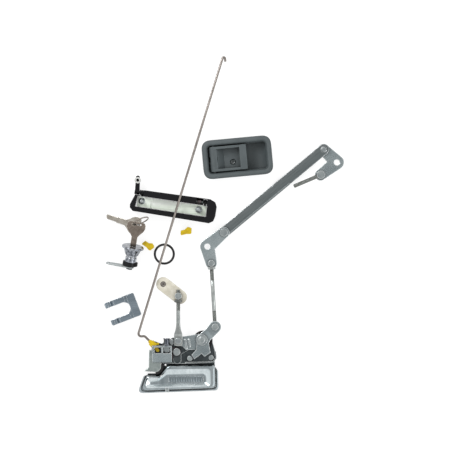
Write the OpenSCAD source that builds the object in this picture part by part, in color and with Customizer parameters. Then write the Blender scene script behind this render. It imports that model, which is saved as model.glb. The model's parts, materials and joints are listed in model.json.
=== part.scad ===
// Excavator door lock laid flat as a kit: latch, linkage, two handles and key lock.
// X runs right, Y runs up the layout, Z rises from the bench. Millimetres and degrees.

/* [Latch] */
// Thickness of the back plate
back_t = 2.5; // [2:0.25:3]
// Clear depth between back plate and mechanism plate
case_depth = 12; // [11.5:0.25:13]
// Thickness of the mechanism plate
mech_t = 2.5; // [2:0.25:3]
// Thickness of the pressed levers
lever_t = 2.5; // [2:0.25:2.75]
// Height of the latch cover above the back plate
cover_h = 11; // [9:0.5:12]
// Sheet thickness of the latch cover
cover_t = 1.5; // [1:0.1:2]
// Radius of the release pivot
pivot_r = 5; // [4:0.25:5.5]
// Radius of the pawl shaft
pawl_shaft_r = 4; // [3:0.25:4.25]
// Radius of the claw hub
claw_hub_r = 11; // [9:0.5:11.5]
// Thickness of the claw
claw_t = 8; // [6:0.5:8.5]
// Radius of the fixing bolt holes in the back plate
bolt_hole_r = 2.5; // [2:0.1:3]

/* [Rods and links] */
// Radius of the threaded M6 rods
rod_r = 3; // [2.5:0.1:3.2]
// Radius of the long lock rod
lock_rod_r = 1.8; // [1.5:0.1:2.2]
// Thickness of the cranks and the flat bar
crank_t = 3; // [2:0.25:3.25]
// Width of the flat bar
bar_w = 16; // [14:0.5:18]
// Radius of the pivot holes in the cranks
crank_hole_r = 4.3; // [3.5:0.1:5]
// Radius of the pivot stud in the transfer link
link_hole_r = 4.2; // [3.5:0.1:5]
// Thickness of the transfer link
link_t = 5; // [4:0.25:5.5]

/* [Inner handle] */
// Length of the bezel
bezel_l = 104; // [102:1:110]
// Width of the bezel
bezel_w = 58; // [57:0.5:62]
// Height of the bezel
bezel_h = 26; // [25:0.5:30]
// Radius of the hinge pin
inner_pin_r = 2.5; // [2:0.1:3]
// Radius of the fixing screw
inner_screw_r = 2.7; // [2.2:0.1:3.2]

/* [Outer handle] */
// Height of the handle frame
outer_h = 20.5; // [19:0.25:21]
// Radius of the grip shaft
outer_shaft_r = 2.5; // [2:0.1:3]
// Radius of the fixing studs
stud_r = 3; // [2.5:0.1:3.5]

/* [Key lock] */
// Radius of the lock's head
head_r = 16.5; // [15:0.25:17]
// Radius of the plug
plug_r = 6; // [5.5:0.1:6.5]
// Tilt of the lock as it lies on its rim
lock_tilt = 14; // [13:0.5:16]
// Thickness of the key
key_t = 2.2; // [1.8:0.1:2.4]

/* [Loose pieces] */
// Mean radius of the gasket
gasket_r = 14.2; // [13:0.2:16]
// Radius of the gasket's round section
gasket_wire_r = 1.7; // [1.2:0.1:2]
// Sheet thickness of the retaining clip
clip_t = 1.5; // [1:0.1:2]

/* [Hidden] */
$fn = 48;
fit = 0.06;
gap = 0.3;
over = 1;
layer_gap = 0.1;
tuck = 0.03;
bore_reach = 9;
coil_pitch = 1.8;
lever_slip = 0.2;

// Heights of the latch layers
mech_z = back_t + case_depth;
mech_top = mech_z + mech_t;
disc_t = 1.2;
fork_t = 1.5;
fork_z = mech_top + gap;
handle_z = fork_z + fork_t + lever_slip;
handle_top = handle_z + lever_t;
release_z = handle_top + gap;
release_top = release_z + lever_t;
arm_drop = 2.8;
arm_z = release_z - arm_drop;
spade_mid = release_z + lever_t / 2;

// Latch places, measured from the release pivot
latch_at = [-34, -172];
arm_end = [19.7, 19];
spade_at = [-35.1, -1.5];
pawl_at = [-37.5, -18];
claw_at = [-62, -24];
fork_at = pawl_at / 2;
lock_pivot_at = [-52.5, -15];
lock_pin_at = [-72.75, -6.75];
post_places = [[14, -27], [-18, -28], [-45, -4]];
bolt_x = 50;
bolt_y = 20;
bolt_mid = [-20, -57];

// Claw and pawl
claw_lift = 0.5;
claw_z = back_t + claw_lift;
claw_pin_r = 4;
hook_mid = claw_at + [-8, -16];
hook_r = 9;
bumper_w = 3.8;
pawl_lift = 1.5;
pawl_z = back_t + pawl_lift;
pawl_t = 5;
nose_r = 2.5;
nose_angle = -30;
nose_clear = 0.5;
nose_at = claw_at + (claw_hub_r + nose_clear + nose_r) * [cos(nose_angle), sin(nose_angle)];
catch_turn = 35;
claw_reach = 35.5;

// Linkage places on the bench
crank_pivot = [-25.9, -33.3];
bar_low = [-1.3, -12.3];
rod_top = [-20, -58];
rod_low = latch_at + arm_end;
bar_high = [148.3, 112.2];
end_pivot = [168.1, 92.7];
stub_at = [143.8, 74];
stub_tip = [103.3, 56.7];
link_pivot = [-91.7, -89.3];
trunnion_y = -106.7;

// Heights of the linkage layers
bar_z = crank_t + gap;
crank_z = bar_z + crank_t + gap;
crank_top = crank_z + crank_t;
nut_r = 5.77;
nut_t = 4;
nut_gap = 0.4;
trunnion_r = 5;
trunnion_cap = 1;
trunnion_h = 2 * max(rod_r, nut_r * cos(30));
pin_r = 3.5;
rivet_r = 4;
rivet_head_h = 2.6;
rod_z = crank_top + gap + trunnion_h / 2;
stub_lift = 0.5;
stub_z = bar_z + crank_t + stub_lift + rod_r;
link_top = spade_mid - trunnion_h / 2 - gap;
link_z = link_top - link_t;

// Lock rod
lock_lever_t = 2;
lock_lever_z = mech_top + gap;
rod_clip_z = lock_lever_z + lock_lever_t + gap;
rod_clip_h = 6.9;
rod_in_clip = 3.9;
lock_rod_z = rod_clip_z + rod_in_clip;
lock_pin = latch_at + lock_pin_at;
rod_bend_r = 4;
hook_bend_r = 1.9;
bend_steps = 4;
rod_sides = 16;
rod_hook_end = [1.1, 242.1];
rod_apex = [-0.5, 256];
rod_corner = [-129.7, -167.1];
rod_elbow = [-119, -166.5];

// Inner handle
inner_at = [18.9, 99.8];
inner_turn = 5.3;
rim_h = 7;
rim_out = 5;
rim_w = 9;
bezel_r = 14;
rim_round = 3.5;
rim_flare = 2.2;
well_r = 3;
tub_floor = 2.5;
pin_inset = 16.5;
pin_height = 16.5;
inner_pin_at = [-bezel_l / 2 + pin_inset, pin_height];
barrel_r = 6.5;
spring_room = 8;
lever_side = 1.5;
lever_half = bezel_w / 2 - rim_w - lever_side;
lever_end = 14;
inner_screw_at = [-7, -6];
boss_h = 3;
boss_top = tub_floor + boss_h;
boss_w = 3.5;
screw_head_r = 4.2;
screw_head_h = 2.4;

// Outer handle
outer_at = [-77.5, 26.7];
outer_turn = -8.5;
shaft_at = [13.5, 10];
shaft_ends = [-60, 53];
knuckle_r = 3.9;
knuckles = [[-50, -46], [45, 49]];
knuckle_side = 0.5;
spring_pocket = [33.5, 43.8];
pocket_floor = 4.5;
notch_ends = [20, shaft_at[0] + knuckle_r + gap];
plate_low = 8;
stud_places = [[-47, 1], [39, 1]];
plate_pad = [10.5, 9.5];
opening = [-55, 51];
opening_half = 8.2;

// Key lock
lock_at = [-136.7, -32.5];
lock_turn = 80;
rim_t = 3;
lock_lift = 0.05;
lock_z = rim_t * sin(lock_tilt) + head_r * cos(lock_tilt) + lock_lift;
body_r = 8.5;
body_end = -30;
cam_z = -33.5;
cam_t = 2;
cam_len = 31;
cam_r = 5;
cam_hub_r = 6.5;
cam_eye_r = 2;
tail_r = 3;
tail_past = 1.5;
cam_nut_r = 5;
cam_nut_t = 2.4;
plug_proud = 0.2;
plug_past = 0.5;
key_clear = [0.3, 0.6, 2];
key_hole = [3.5, 33.5];
blade_len = 18;
blade_w = 7;
bow_mid = 27.5;
ring_r = 11.5;
ring_wire_r = 0.9;
ring_swing = -37;
ring_lean = 27;
spare_step = 43.5;
spare_heading = 341.6;
spare_tip_z = 1.6;

// Loose pieces
gasket_at = [-90.5, -44.6];
clip_at = [-130.7, -118.8];
clip_turn = 201;
clip_w = 36;
clip_l = 47;
clip_slot = 19;
clip_back = 12;
loose_clips = [[-114.5, -31.7, -49], [-57.6, -10.8, 0]];

// Frames of the sub-assemblies

module at_latch() {
    translate(latch_at) children();
}

module at_inner() {
    translate(inner_at) rotate(inner_turn) children();
}

module at_outer() {
    translate(outer_at) rotate(outer_turn) children();
}

module at_lock() {
    translate([lock_at.x, lock_at.y, lock_z]) rotate([0, 90 - lock_tilt, lock_turn]) children();
}

// Plane shapes and simple solids

module slab(low, thick) {
    translate([0, 0, low]) linear_extrude(thick) children();
}

module disc(at, r) {
    translate(at) circle(r);
}

module post(at, r, low, high) {
    translate([at.x, at.y, low]) cylinder(h = high - low, r = r);
}

module capsule(a, b, r) {
    tapered(a, r, b, r);
}

// Two round ends joined by their outer tangents, tucked in so that they cross the rounds cleanly
module tapered(a, ra, b, rb) {
    way = atan2(b.y - a.y, b.x - a.x);
    lean = acos((ra - rb) / norm(b - a));
    sides = [for (turn = [lean, -lean]) [cos(way + turn), sin(way + turn)]];
    disc(a, ra);
    disc(b, rb);
    polygon([
        a + (ra - tuck) * sides[0], a + (ra - tuck) * sides[1],
        b + (rb - tuck) * sides[1], b + (rb - tuck) * sides[0]
    ]);
}

module rounded(size, r) {
    square([size.x - 2 * r, size.y], center = true);
    square([size.x, size.y - 2 * r], center = true);
    for (sx = [-1, 1], sy = [-1, 1]) disc([sx * (size.x / 2 - r), sy * (size.y / 2 - r)], r);
}

module bar_between(a, b, r) {
    way = b - a;
    translate(a)
        rotate([0, acos(way.z / norm(way)), atan2(way.y, way.x)])
            cylinder(h = norm(way), r = r);
}

// Close-wound coil standing on z = 0
module coil(mean_r, wire_r, turns) {
    rotate_extrude()
        for (i = [0 : turns - 1])
            translate([mean_r, wire_r * (1 + coil_pitch * i)]) circle(wire_r, $fn = 24);
}

function lift(p, z) = [p.x, p.y, z];
function unit(v) = v / norm(v);
function turn_x(v, a) = [v.x, v.y * cos(a) - v.z * sin(a), v.y * sin(a) + v.z * cos(a)];
function turn_y(v, a) = [v.x * cos(a) + v.z * sin(a), v.y, v.z * cos(a) - v.x * sin(a)];
function turn_z(v, a) = [v.x * cos(a) - v.y * sin(a), v.x * sin(a) + v.y * cos(a), v.z];

// Latch: fixed pieces

cover_outline = [[-83, -54], [-63, -54], [-51, -38], [17, -38], [20, -42], [20.5, -73], [-91, -77]];
recess_low = [[-84, -73], [-81, -60], [-40, -58], [-40, -71]];
recess_high = [[-66, -72], [-63, -57], [-51, -46.5], [9, -45.5], [13, -69.5]];
recess_depth = 5;
recess_slope = 5;
rib_r = 0.9;
rib_pitch = 3;
rib_run = 60;
rib_count = floor(rib_run / rib_pitch);
rib_sides = 16;
rib_first = -51;
rib_ends = [-65, -54];
rib_sink = 0.2;
tab_at = [-54.6, -80];
tab_size = [5.5, 5];
flange_w = 4;
flange_t = 1.5;
drain_at = [-54.7, -38.8];
drain_r = 1.4;
flange_clear = [[-100, -37.9], [140, 10]];

module back_plate() {
    outline = [[-71, -12], [-44, 2], [-12, 5], [-2, 12], [8, 11], [13, 0], [19, -18], [20, -73], [-90, -77],
        [-83, -56], [-81, -51.5], [-66, -51.5], [-61, -46], [-60.5, -37], [-71, -33]];
    color("silver") at_latch() difference() {
        slab(0, back_t) polygon(outline);
        post(drain_at, drain_r, -over, back_t + over);
        for (sx = [-1, 1], sy = [-1, 1])
            post(bolt_mid + [sx * bolt_x, sy * bolt_y] / 2, bolt_hole_r, -over, back_t + over);
    }
}

// Sunken panel of the cover, grown by a sheet thickness to make its underside
module cover_recess(grow) {
    top = back_t + cover_h;
    for (outline = [recess_low, recess_high]) hull() {
        slab(top, over) offset(delta = grow) polygon(outline);
        slab(top - recess_depth - grow, over) offset(delta = grow - recess_slope) polygon(outline);
    }
}

module latch_cover() {
    rib_z = back_t + cover_h - recess_depth - rib_sink;
    color("gainsboro") at_latch() {
        difference() {
            slab(back_t, cover_h) polygon(cover_outline);
            difference() {
                slab(back_t - over, cover_h - cover_t + over)
                    offset(delta = -cover_t) polygon(cover_outline);
                cover_recess(cover_t);
            }
            cover_recess(0);
        }
        difference() {
            slab(back_t, flange_t) offset(delta = flange_w) polygon(cover_outline);
            slab(back_t - over, flange_t + 2 * over) offset(delta = -cover_t) polygon(cover_outline);
            slab(back_t - over, flange_t + 2 * over) translate(flange_clear[0]) square(flange_clear[1]);
            post(claw_at, claw_reach, back_t - over, back_t + flange_t + over);
        }
        for (i = [0 : rib_count - 1]) {
            x = rib_first + i * rib_pitch;
            bar_between([x, rib_ends[0], rib_z], [x, rib_ends[1], rib_z], rib_r, $fn = rib_sides);
        }
        slab(back_t, cover_h - cover_t) translate(tab_at) square(tab_size);
    }
}

mech_outline = [[-75, -10], [-60, -6], [-46, -2], [-30, -1], [-12, 6], [-3, 13], [8, 12], [14, 3],
    [20, -18], [22, -27], [18, -34], [-30, -36], [-58, -35], [-69, -28], [-75, -18]];
lip_path = [[20, -18], [21, -27], [17, -33], [-24, -34.7]];
lip_w = 1;
lip_h = 3;

module mechanism_plate() {
    color("lightgray") at_latch() {
        difference() {
            slab(mech_z, mech_t) polygon(mech_outline);
            post([0, 0], pivot_r + fit, mech_z - over, mech_top + over);
            post(pawl_at, pawl_shaft_r + fit, mech_z - over, mech_top + over);
            for (p = post_places) post(p, post_neck_r + fit, mech_z - over, mech_top + over);
        }
        for (i = [0 : len(lip_path) - 2])
            slab(mech_top, lip_h) capsule(lip_path[i], lip_path[i + 1], lip_w);
    }
}

post_r = 4;
post_neck_r = 2.5;
post_head_h = 1.2;

module spacer_posts() {
    color("darkgray") at_latch() for (p = post_places) {
        post(p, post_r, back_t, mech_z);
        post(p, post_neck_r, mech_z, mech_top);
        post(p, post_r, mech_top, mech_top + post_head_h);
    }
}

pivot_head_r = 8.5;
pivot_head_h = 1.6;
pivot_dome_r = 4.5;
pivot_dome_h = 1.2;
pivot_step = 1.5;

module release_pivot() {
    head_z = release_top + gap;
    color("gainsboro") at_latch() {
        post([0, 0], pivot_r + pivot_step, back_t, mech_z);
        post([0, 0], pivot_r, mech_z, head_z);
        post([0, 0], pivot_head_r, head_z, head_z + pivot_head_h);
        post([0, 0], pivot_dome_r, head_z + pivot_head_h, head_z + pivot_head_h + pivot_dome_h);
    }
}

disc_r = 14.5;
disc_mid = [1.5, -1];

module friction_disc() {
    color("#202224") at_latch() difference() {
        slab(mech_top + layer_gap, disc_t) disc(disc_mid, disc_r);
        post([0, 0], pivot_r + fit, mech_top - over, mech_top + over + disc_t);
    }
}

bracket_x = [-74, -44.5];
bracket_back = -8.5;
bracket_bend = -21.5;
bracket_foot = -34;
bracket_t = 1.6;
bracket_clear = 0.5;
bracket_top = rod_clip_z + rod_clip_h + bracket_clear + bracket_t;
bracket_toe = 2;
bracket_miter = 0.6;
bracket_cheek = -17;
windows = [[-70.5, -60.5], [-57.5, -47]];
window_y = [-19.5, -11];
barrel_mid_r = 5;
barrel_x = -52.5;
barrel_clear = 0.7;
barrel_z = lock_lever_z + lock_lever_t + barrel_clear + barrel_mid_r;
barrel_waist = 0.8;
barrel_rim = 1.5;

module window_bracket() {
    low = bracket_top - bracket_t;
    profile = [[bracket_back, low], [bracket_back, bracket_top], [bracket_bend, bracket_top],
        [bracket_foot, mech_top + bracket_t], [bracket_foot, mech_top],
        [bracket_foot + bracket_toe, mech_top], [bracket_bend + bracket_miter, low]];
    wide = bracket_x[1] - bracket_x[0];
    color("slategray") at_latch() {
        difference() {
            translate([bracket_x[0], 0, 0]) rotate([90, 0, 90]) linear_extrude(wide) polygon(profile);
            for (w = windows) translate([w[0], window_y[0], low - over])
                cube([w[1] - w[0], window_y[1] - window_y[0], bracket_t + 2 * over]);
        }
        translate([bracket_x[0], 0, 0]) rotate([90, 0, 90]) linear_extrude(bracket_t)
            polygon([[bracket_cheek, mech_top], [bracket_cheek, low], [bracket_bend, low],
                [bracket_foot + bracket_toe, mech_top]]);
        translate([barrel_x - barrel_mid_r, bracket_back, barrel_z - barrel_mid_r])
            rotate([90, 0, 0]) linear_extrude(bracket_t)
                square([2 * barrel_mid_r, bracket_top - barrel_z + barrel_mid_r]);
    }
}

module spring_barrel() {
    length = 11;
    color("dimgray") at_latch() translate([barrel_x, bracket_back, barrel_z]) rotate([-90, 0, 0]) {
        cylinder(h = length, r = barrel_mid_r - barrel_waist);
        for (z = [0, length - barrel_rim]) translate([0, 0, z]) cylinder(h = barrel_rim, r = barrel_mid_r);
    }
}

module claw_pin() {
    color("darkgray") at_latch() post(claw_at, claw_pin_r, back_t, mech_z);
}

module claw_spring() {
    low = claw_z + claw_t + gap;
    turns = 2;
    wires_high = 6;
    clear = 2;
    wire_r = (mech_z - low - gap) / wires_high;
    color("#3a3c3e") at_latch() translate(lift(claw_at, low)) coil(claw_pin_r + clear, wire_r, turns);
}

lock_pivot_r = 3;
lock_head_step = 1.5;
lock_head_h = 1;

module lock_pivot() {
    head_z = lock_lever_z + lock_lever_t + gap;
    color("gray") at_latch() {
        post(lock_pivot_at, lock_pivot_r, mech_top, head_z);
        post(lock_pivot_at, lock_pivot_r + lock_head_step, head_z, head_z + lock_head_h);
    }
}

// Latch: claw and pawl

module latch_claw() {
    body = [[-17, 8], [-4, 8], [3, -9], [-1, -12.5], [-4, -22], [-10, -24.5], [-16, -24.5], [-25, -23.5],
        [-17.5, -18]];
    notch_way = nose_angle + catch_turn;
    notch_clear = 0.8;
    notch_at = claw_at + (claw_hub_r + notch_clear) * [cos(notch_way), sin(notch_way)];
    top = claw_z + claw_t;
    color("lightsteelblue") at_latch() difference() {
        union() {
            post(claw_at, claw_hub_r, claw_z, top);
            post(hook_mid, hook_r, claw_z, top);
            slab(claw_z, claw_t) polygon([for (p = body) claw_at + p]);
        }
        post(claw_at, claw_pin_r + fit, claw_z - over, top + over);
        post(notch_at, nose_r + notch_clear, claw_z - over, top + over);
    }
}

module claw_bumper() {
    seat = 0.05;
    wedge = [[0, 0], [2, -30], [30, -30], [30, 9]];
    color("#141414") at_latch() slab(claw_z, claw_t) intersection() {
        difference() {
            disc(hook_mid, hook_r + bumper_w);
            disc(hook_mid, hook_r + seat);
        }
        polygon([for (p = wedge) hook_mid + p]);
    }
}

pawl_hub_w = 3;

module pawl() {
    color("gray") at_latch() slab(pawl_z, pawl_t) difference() {
        tapered(pawl_at, pawl_shaft_r + pawl_hub_w, nose_at, nose_r);
        disc(pawl_at, pawl_shaft_r + fit);
    }
}

spring_turns = 2;
spring_wire_r = 0.75;
spring_z = fork_z + fork_t + gap;
spring_h = spring_wire_r * (2 + coil_pitch * (spring_turns - 1));

module pawl_shaft() {
    cap_z = spring_z + spring_h + gap;
    cap_step = 1.5;
    cap_h = 1.2;
    color("gainsboro") at_latch() {
        post(pawl_at, pawl_shaft_r, back_t + gap, cap_z);
        post(pawl_at, pawl_shaft_r + cap_step, cap_z, cap_z + cap_h);
    }
}

fork_pin_r = 2.4;
fork_r = 5;

module pawl_lever() {
    way = unit(fork_at - pawl_at);
    fork_past = 0.5;
    slot_ends = [-2.5, 9];
    slot_clear = 0.55;
    stop_at = [1, -12];
    stop_w = 2;
    color("darkgray") at_latch() slab(fork_z, fork_t) difference() {
        union() {
            tapered(pawl_at, pawl_shaft_r + pawl_hub_w, fork_at + fork_past * way, fork_r);
            tapered(pawl_at, pawl_shaft_r + pawl_hub_w, pawl_at + stop_at, pawl_shaft_r + stop_w);
        }
        disc(pawl_at, pawl_shaft_r + fit);
        capsule(fork_at + slot_ends[0] * way, fork_at + slot_ends[1] * way, fork_pin_r + slot_clear);
    }
}

module pawl_spring() {
    clear = 0.5;
    mean_r = pawl_shaft_r + spring_wire_r + clear;
    leg_end = -13;
    color("#2b2d30") at_latch() translate(lift(pawl_at, spring_z)) {
        coil(mean_r, spring_wire_r, spring_turns);
        bar_between([mean_r, 0, spring_wire_r], [mean_r, leg_end, spring_wire_r], spring_wire_r);
    }
}

// Latch: handle lever and release lever

module handle_lever() {
    outline = [[-41, 6.5], [-28, 5], [-9, 8], [0, 8.4], [0, -8.4], [-8, -15], [-24, -15], [-29, -9.5],
        [-41, -9]];
    lever_hub_r = 9;
    ridges = [[[-25, 0], [-22.5, -12.5]], [[-19.5, 0], [-17.6, -9.5]]];
    ridge_h = 1.2;
    ridge_r = 1.2;
    pin_lift = 0.5;
    color("silver") at_latch() {
        difference() {
            slab(handle_z, lever_t) {
                polygon(outline);
                disc([0, 0], lever_hub_r);
            }
            post([0, 0], pivot_r + fit, handle_z - over, handle_top + over);
            post(spade_at, rivet_small_r + fit, handle_z - over, handle_top + over);
        }
        post(fork_at, fork_pin_r, mech_top + pin_lift, handle_z);
        for (r = ridges) slab(handle_top, ridge_h) capsule(r[0], r[1], ridge_r);
    }
}

rivet_small_r = 3;
rivet_small_head_r = 5;
rivet_small_head_h = 1.6;

module push_rod_rivet() {
    color("gainsboro") at_latch() {
        post(spade_at, rivet_small_r, handle_z, release_top + gap);
        post(spade_at, rivet_small_head_r, release_top + gap, release_top + gap + rivet_small_head_h);
    }
}

module release_lever() {
    body = [[2.1, 12.9], [-7.7, 5.5], [-7.6, -3.8], [-8.3, -14.7], [-15.2, -22.2], [-11.1, -28.5],
        [-0.2, -20.4], [3.8, -25], [13, -18.8], [10.2, -5], [12.5, -0.3]];
    fold = [[12.5, -0.3], [2.1, 12.9]];
    out = [0.786, 0.619];
    ramp = 5;
    strip = 0.6;
    eye_r = 9;
    along = unit(arm_end - (fold[0] + fold[1]) / 2 - ramp * out);
    side = eye_r * [-along.y, along.x];
    color("gainsboro") at_latch() difference() {
        union() {
            slab(release_z, lever_t) polygon(body);
            hull() {
                slab(release_z, lever_t)
                    polygon([fold[0], fold[1], fold[1] + strip * out, fold[0] + strip * out]);
                slab(arm_z, lever_t) polygon([for (s = [ramp, ramp + strip], p = fold) p + s * out]);
            }
            slab(arm_z, lever_t)
                polygon([fold[0] + ramp * out, arm_end - side, arm_end + side, fold[1] + ramp * out]);
            post(arm_end, eye_r, arm_z, arm_z + lever_t);
        }
        post([0, 0], pivot_r + fit, release_z - over, release_top + over);
        post(arm_end, pin_r + fit, arm_z - over, arm_z + lever_t + over);
    }
}

// Outside linkage

rod_end_y = 74.7;
spade_w = 12.5;
spade_l = 18;
neck_l = 18;
neck_step = 1;
spade_past = 1.5;
spade_corner = 3;

module push_rod() {
    top = spade_at.y + spade_l / 2;
    foot = top + neck_l;
    color("silver") at_latch() {
        difference() {
            slab(release_z, lever_t) translate([spade_at.x, spade_at.y + spade_past])
                rounded([spade_w, spade_l], spade_corner);
            post(spade_at, rivet_small_r + fit, release_z - over, release_top + over);
        }
        hull() {
            slab(release_z, lever_t) translate([spade_at.x, top - neck_step])
                square([spade_w, 2 * neck_step], center = true);
            bar_between(
                [spade_at.x, foot, spade_mid], [spade_at.x, foot + neck_step, spade_mid], rod_r, $fn = 32);
        }
        bar_between([spade_at.x, foot, spade_mid], [spade_at.x, rod_end_y, spade_mid], rod_r);
    }
}

push_trunnion = [latch_at.x + spade_at.x, trunnion_y];

// Nut on a level rod, one flat down
module nut_on(a, way) {
    translate(a) rotate([0, 90, atan2(way.y, way.x)]) difference() {
        rotate(30) cylinder(h = nut_t, r = nut_r, $fn = 6);
        translate([0, 0, -over]) cylinder(h = nut_t + 2 * over, r = rod_r + fit);
    }
}

module push_rod_nut() {
    color("gray") nut_on(lift(push_trunnion - [0, trunnion_r + nut_gap + nut_t], spade_mid), [0, 1, 0]);
}

module transfer_trunnion() {
    body_z = spade_mid - trunnion_h / 2;
    head_top = link_z - gap;
    head_h = 1.5;
    head_step = 2.5;
    shank_past = 0.5;
    color("whitesmoke") difference() {
        union() {
            post(push_trunnion, trunnion_r, body_z, body_z + trunnion_h + trunnion_cap);
            post(push_trunnion, rivet_r, link_z - shank_past, body_z);
            post(push_trunnion, rivet_r + head_step, head_top - head_h, head_top);
        }
        rod_bore(push_trunnion, [0, 1], spade_mid);
    }
}

link_r = 10.5;
link_past = 3;
stud_sink = 0.4;
stud_step = 2;

module transfer_link() {
    far = push_trunnion + link_past * unit(push_trunnion - link_pivot);
    color("ivory") difference() {
        slab(link_z, link_t) capsule(link_pivot, far, link_r);
        post(link_pivot, link_hole_r + fit, link_z - over, link_top + over);
        post(push_trunnion, rivet_r + fit, link_z - over, link_top + over);
    }
}

module link_stud() {
    stud_low = link_z - 2 * link_t / 3;
    color("gray") difference() {
        union() {
            post(link_pivot, link_hole_r, stud_low, link_top - stud_sink);
            post(link_pivot, link_hole_r + stud_step, stud_low, link_z - layer_gap);
        }
        post(link_pivot, link_hole_r / 3, link_top - stud_sink - link_t / 3, link_top + over);
    }
}

// Inside linkage

rod_way = unit(rod_top - rod_low);
rod_past = 3;

module link_rod() {
    color("silver") bar_between(
        lift(rod_low - rod_past * rod_way, rod_z), lift(rod_top + rod_past * rod_way, rod_z), rod_r);
}

module link_nut() {
    color("gray") nut_on(lift(rod_top - (trunnion_r + nut_gap + nut_t) * rod_way, rod_z), lift(rod_way, 0));
}

module rod_bore(at, way, z) {
    bar_between(lift(at - bore_reach * way, z), lift(at + bore_reach * way, z), rod_r + fit);
}

module link_trunnions() {
    body_low = rod_z - trunnion_h / 2;
    body_high = arm_z - gap;
    head_z = arm_z + lever_t + gap;
    foot_z = crank_z - gap;
    head_h = 1.4;
    head_steps = [2, 1.5];
    color("whitesmoke") {
        difference() {
            union() {
                post(rod_top, trunnion_r, body_low, body_low + trunnion_h + trunnion_cap);
                post(rod_top, pin_r, foot_z, body_low);
                post(rod_top, pin_r + head_steps[0], foot_z - head_h, foot_z);
            }
            rod_bore(rod_top, rod_way, rod_z);
        }
        difference() {
            union() {
                post(rod_low, trunnion_r, body_low, body_high);
                post(rod_low, pin_r, body_high, head_z);
                post(rod_low, pin_r + head_steps[1], head_z, head_z + head_h);
            }
            rod_bore(rod_low, rod_way, rod_z);
        }
    }
}

crank_big_r = 10.8;
crank_end_r = 8.5;

module bell_crank() {
    color("silver") slab(crank_z, crank_t) difference() {
        union() {
            tapered(crank_pivot, crank_big_r, bar_low, crank_end_r);
            tapered(crank_pivot, crank_big_r, rod_top, crank_end_r);
        }
        disc(crank_pivot, crank_hole_r);
        disc(bar_low, rivet_r + fit);
        disc(rod_top, pin_r + fit);
    }
}

bevel_w = 2.2;
bevel_foot = 1;
bevel_from = 3;
bevel_l = 120;

module flat_bar() {
    way = bar_high - bar_low;
    rise = crank_t - bevel_foot;
    edge = [-bar_w / 2, bar_z + bevel_foot];
    bevel = [edge - [bevel_w, rise], edge + 2 * [bevel_w, rise], edge + [-bevel_w, 2 * rise]];
    color("gainsboro") difference() {
        slab(bar_z, crank_t) difference() {
            capsule(bar_low, bar_high, bar_w / 2);
            disc(bar_low, rivet_r + fit);
            disc(bar_high, rivet_r + fit);
        }
        translate(bar_low) rotate(atan2(way.y, way.x)) rotate([90, 0, 90])
            translate([0, 0, bevel_from]) linear_extrude(bevel_l) polygon(bevel);
    }
}

module bar_rivets() {
    head_z = crank_top + gap;
    foot_z = 0.4;
    foot_step = 2.5;
    head_step = 2.2;
    flush = 0.2;
    color("whitesmoke") {
        post(bar_low, rivet_r + foot_step, foot_z, bar_z);
        post(bar_low, rivet_r, bar_z, head_z);
        post(bar_low, rivet_r + head_step, head_z, head_z + rivet_head_h);
        post(bar_high, rivet_r, flush, bar_z + crank_t + flush);
    }
}

module end_crank() {
    color("silver") slab(0, crank_t) difference() {
        union() {
            tapered(end_pivot, crank_big_r, bar_high, crank_end_r);
            tapered(end_pivot, crank_big_r, stub_at, crank_end_r);
        }
        disc(end_pivot, crank_hole_r);
        disc(bar_high, rivet_r + fit);
        disc(stub_at, pin_r + fit);
    }
}

stub_way = unit(stub_tip - stub_at);
stub_boss_r = 6;
stub_boss_top = 1.5;
stub_pin_z = 0.3;
stub_back = 4;

module stub_trunnion() {
    color("silver") difference() {
        union() {
            post(stub_at, stub_boss_r, crank_t + gap, stub_z + rod_r + stub_boss_top);
            post(stub_at, pin_r, stub_pin_z, crank_t + gap);
        }
        rod_bore(stub_at, stub_way, stub_z);
    }
}

module stub_rod() {
    color("dimgray") bar_between(
        lift(stub_at - stub_back * stub_way, stub_z), lift(stub_tip, stub_z), rod_r);
}

// Locking linkage

module lock_lever() {
    hub_r = 6;
    eye_r = 5;
    color("gray") at_latch() slab(lock_lever_z, lock_lever_t) difference() {
        tapered(lock_pivot_at, hub_r, lock_pin_at, eye_r);
        disc(lock_pivot_at, lock_pivot_r + fit);
        disc(lock_pin_at, lock_rod_r + fit);
    }
}

clip_block = 9;
clip_step = 0.8;
clip_neck_l = 5.5;
clip_neck_r = 3;
clip_tail = [7, -9];
clip_tail_r = 2.4;
clip_tail_h = 3;
clip_arm = [7.5, 1];
clip_arm_r = 1.7;

// Points round one bend of the rod, from leg to leg
function bend(before, at, after, bend_r) =
    let (
        u = unit(before - at),
        v = unit(after - at),
        half = acos(u * v) / 2,
        mid = at + bend_r / sin(half) * unit(u + v),
        first = at + bend_r / tan(half) * u - mid,
        last = at + bend_r / tan(half) * v - mid,
        sweep = 180 - 2 * half
    )
    [for (i = [0 : bend_steps])
        let (on = sweep * i / bend_steps)
            mid + (first * sin(sweep - on) + last * sin(on)) / sin(sweep)];

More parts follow.
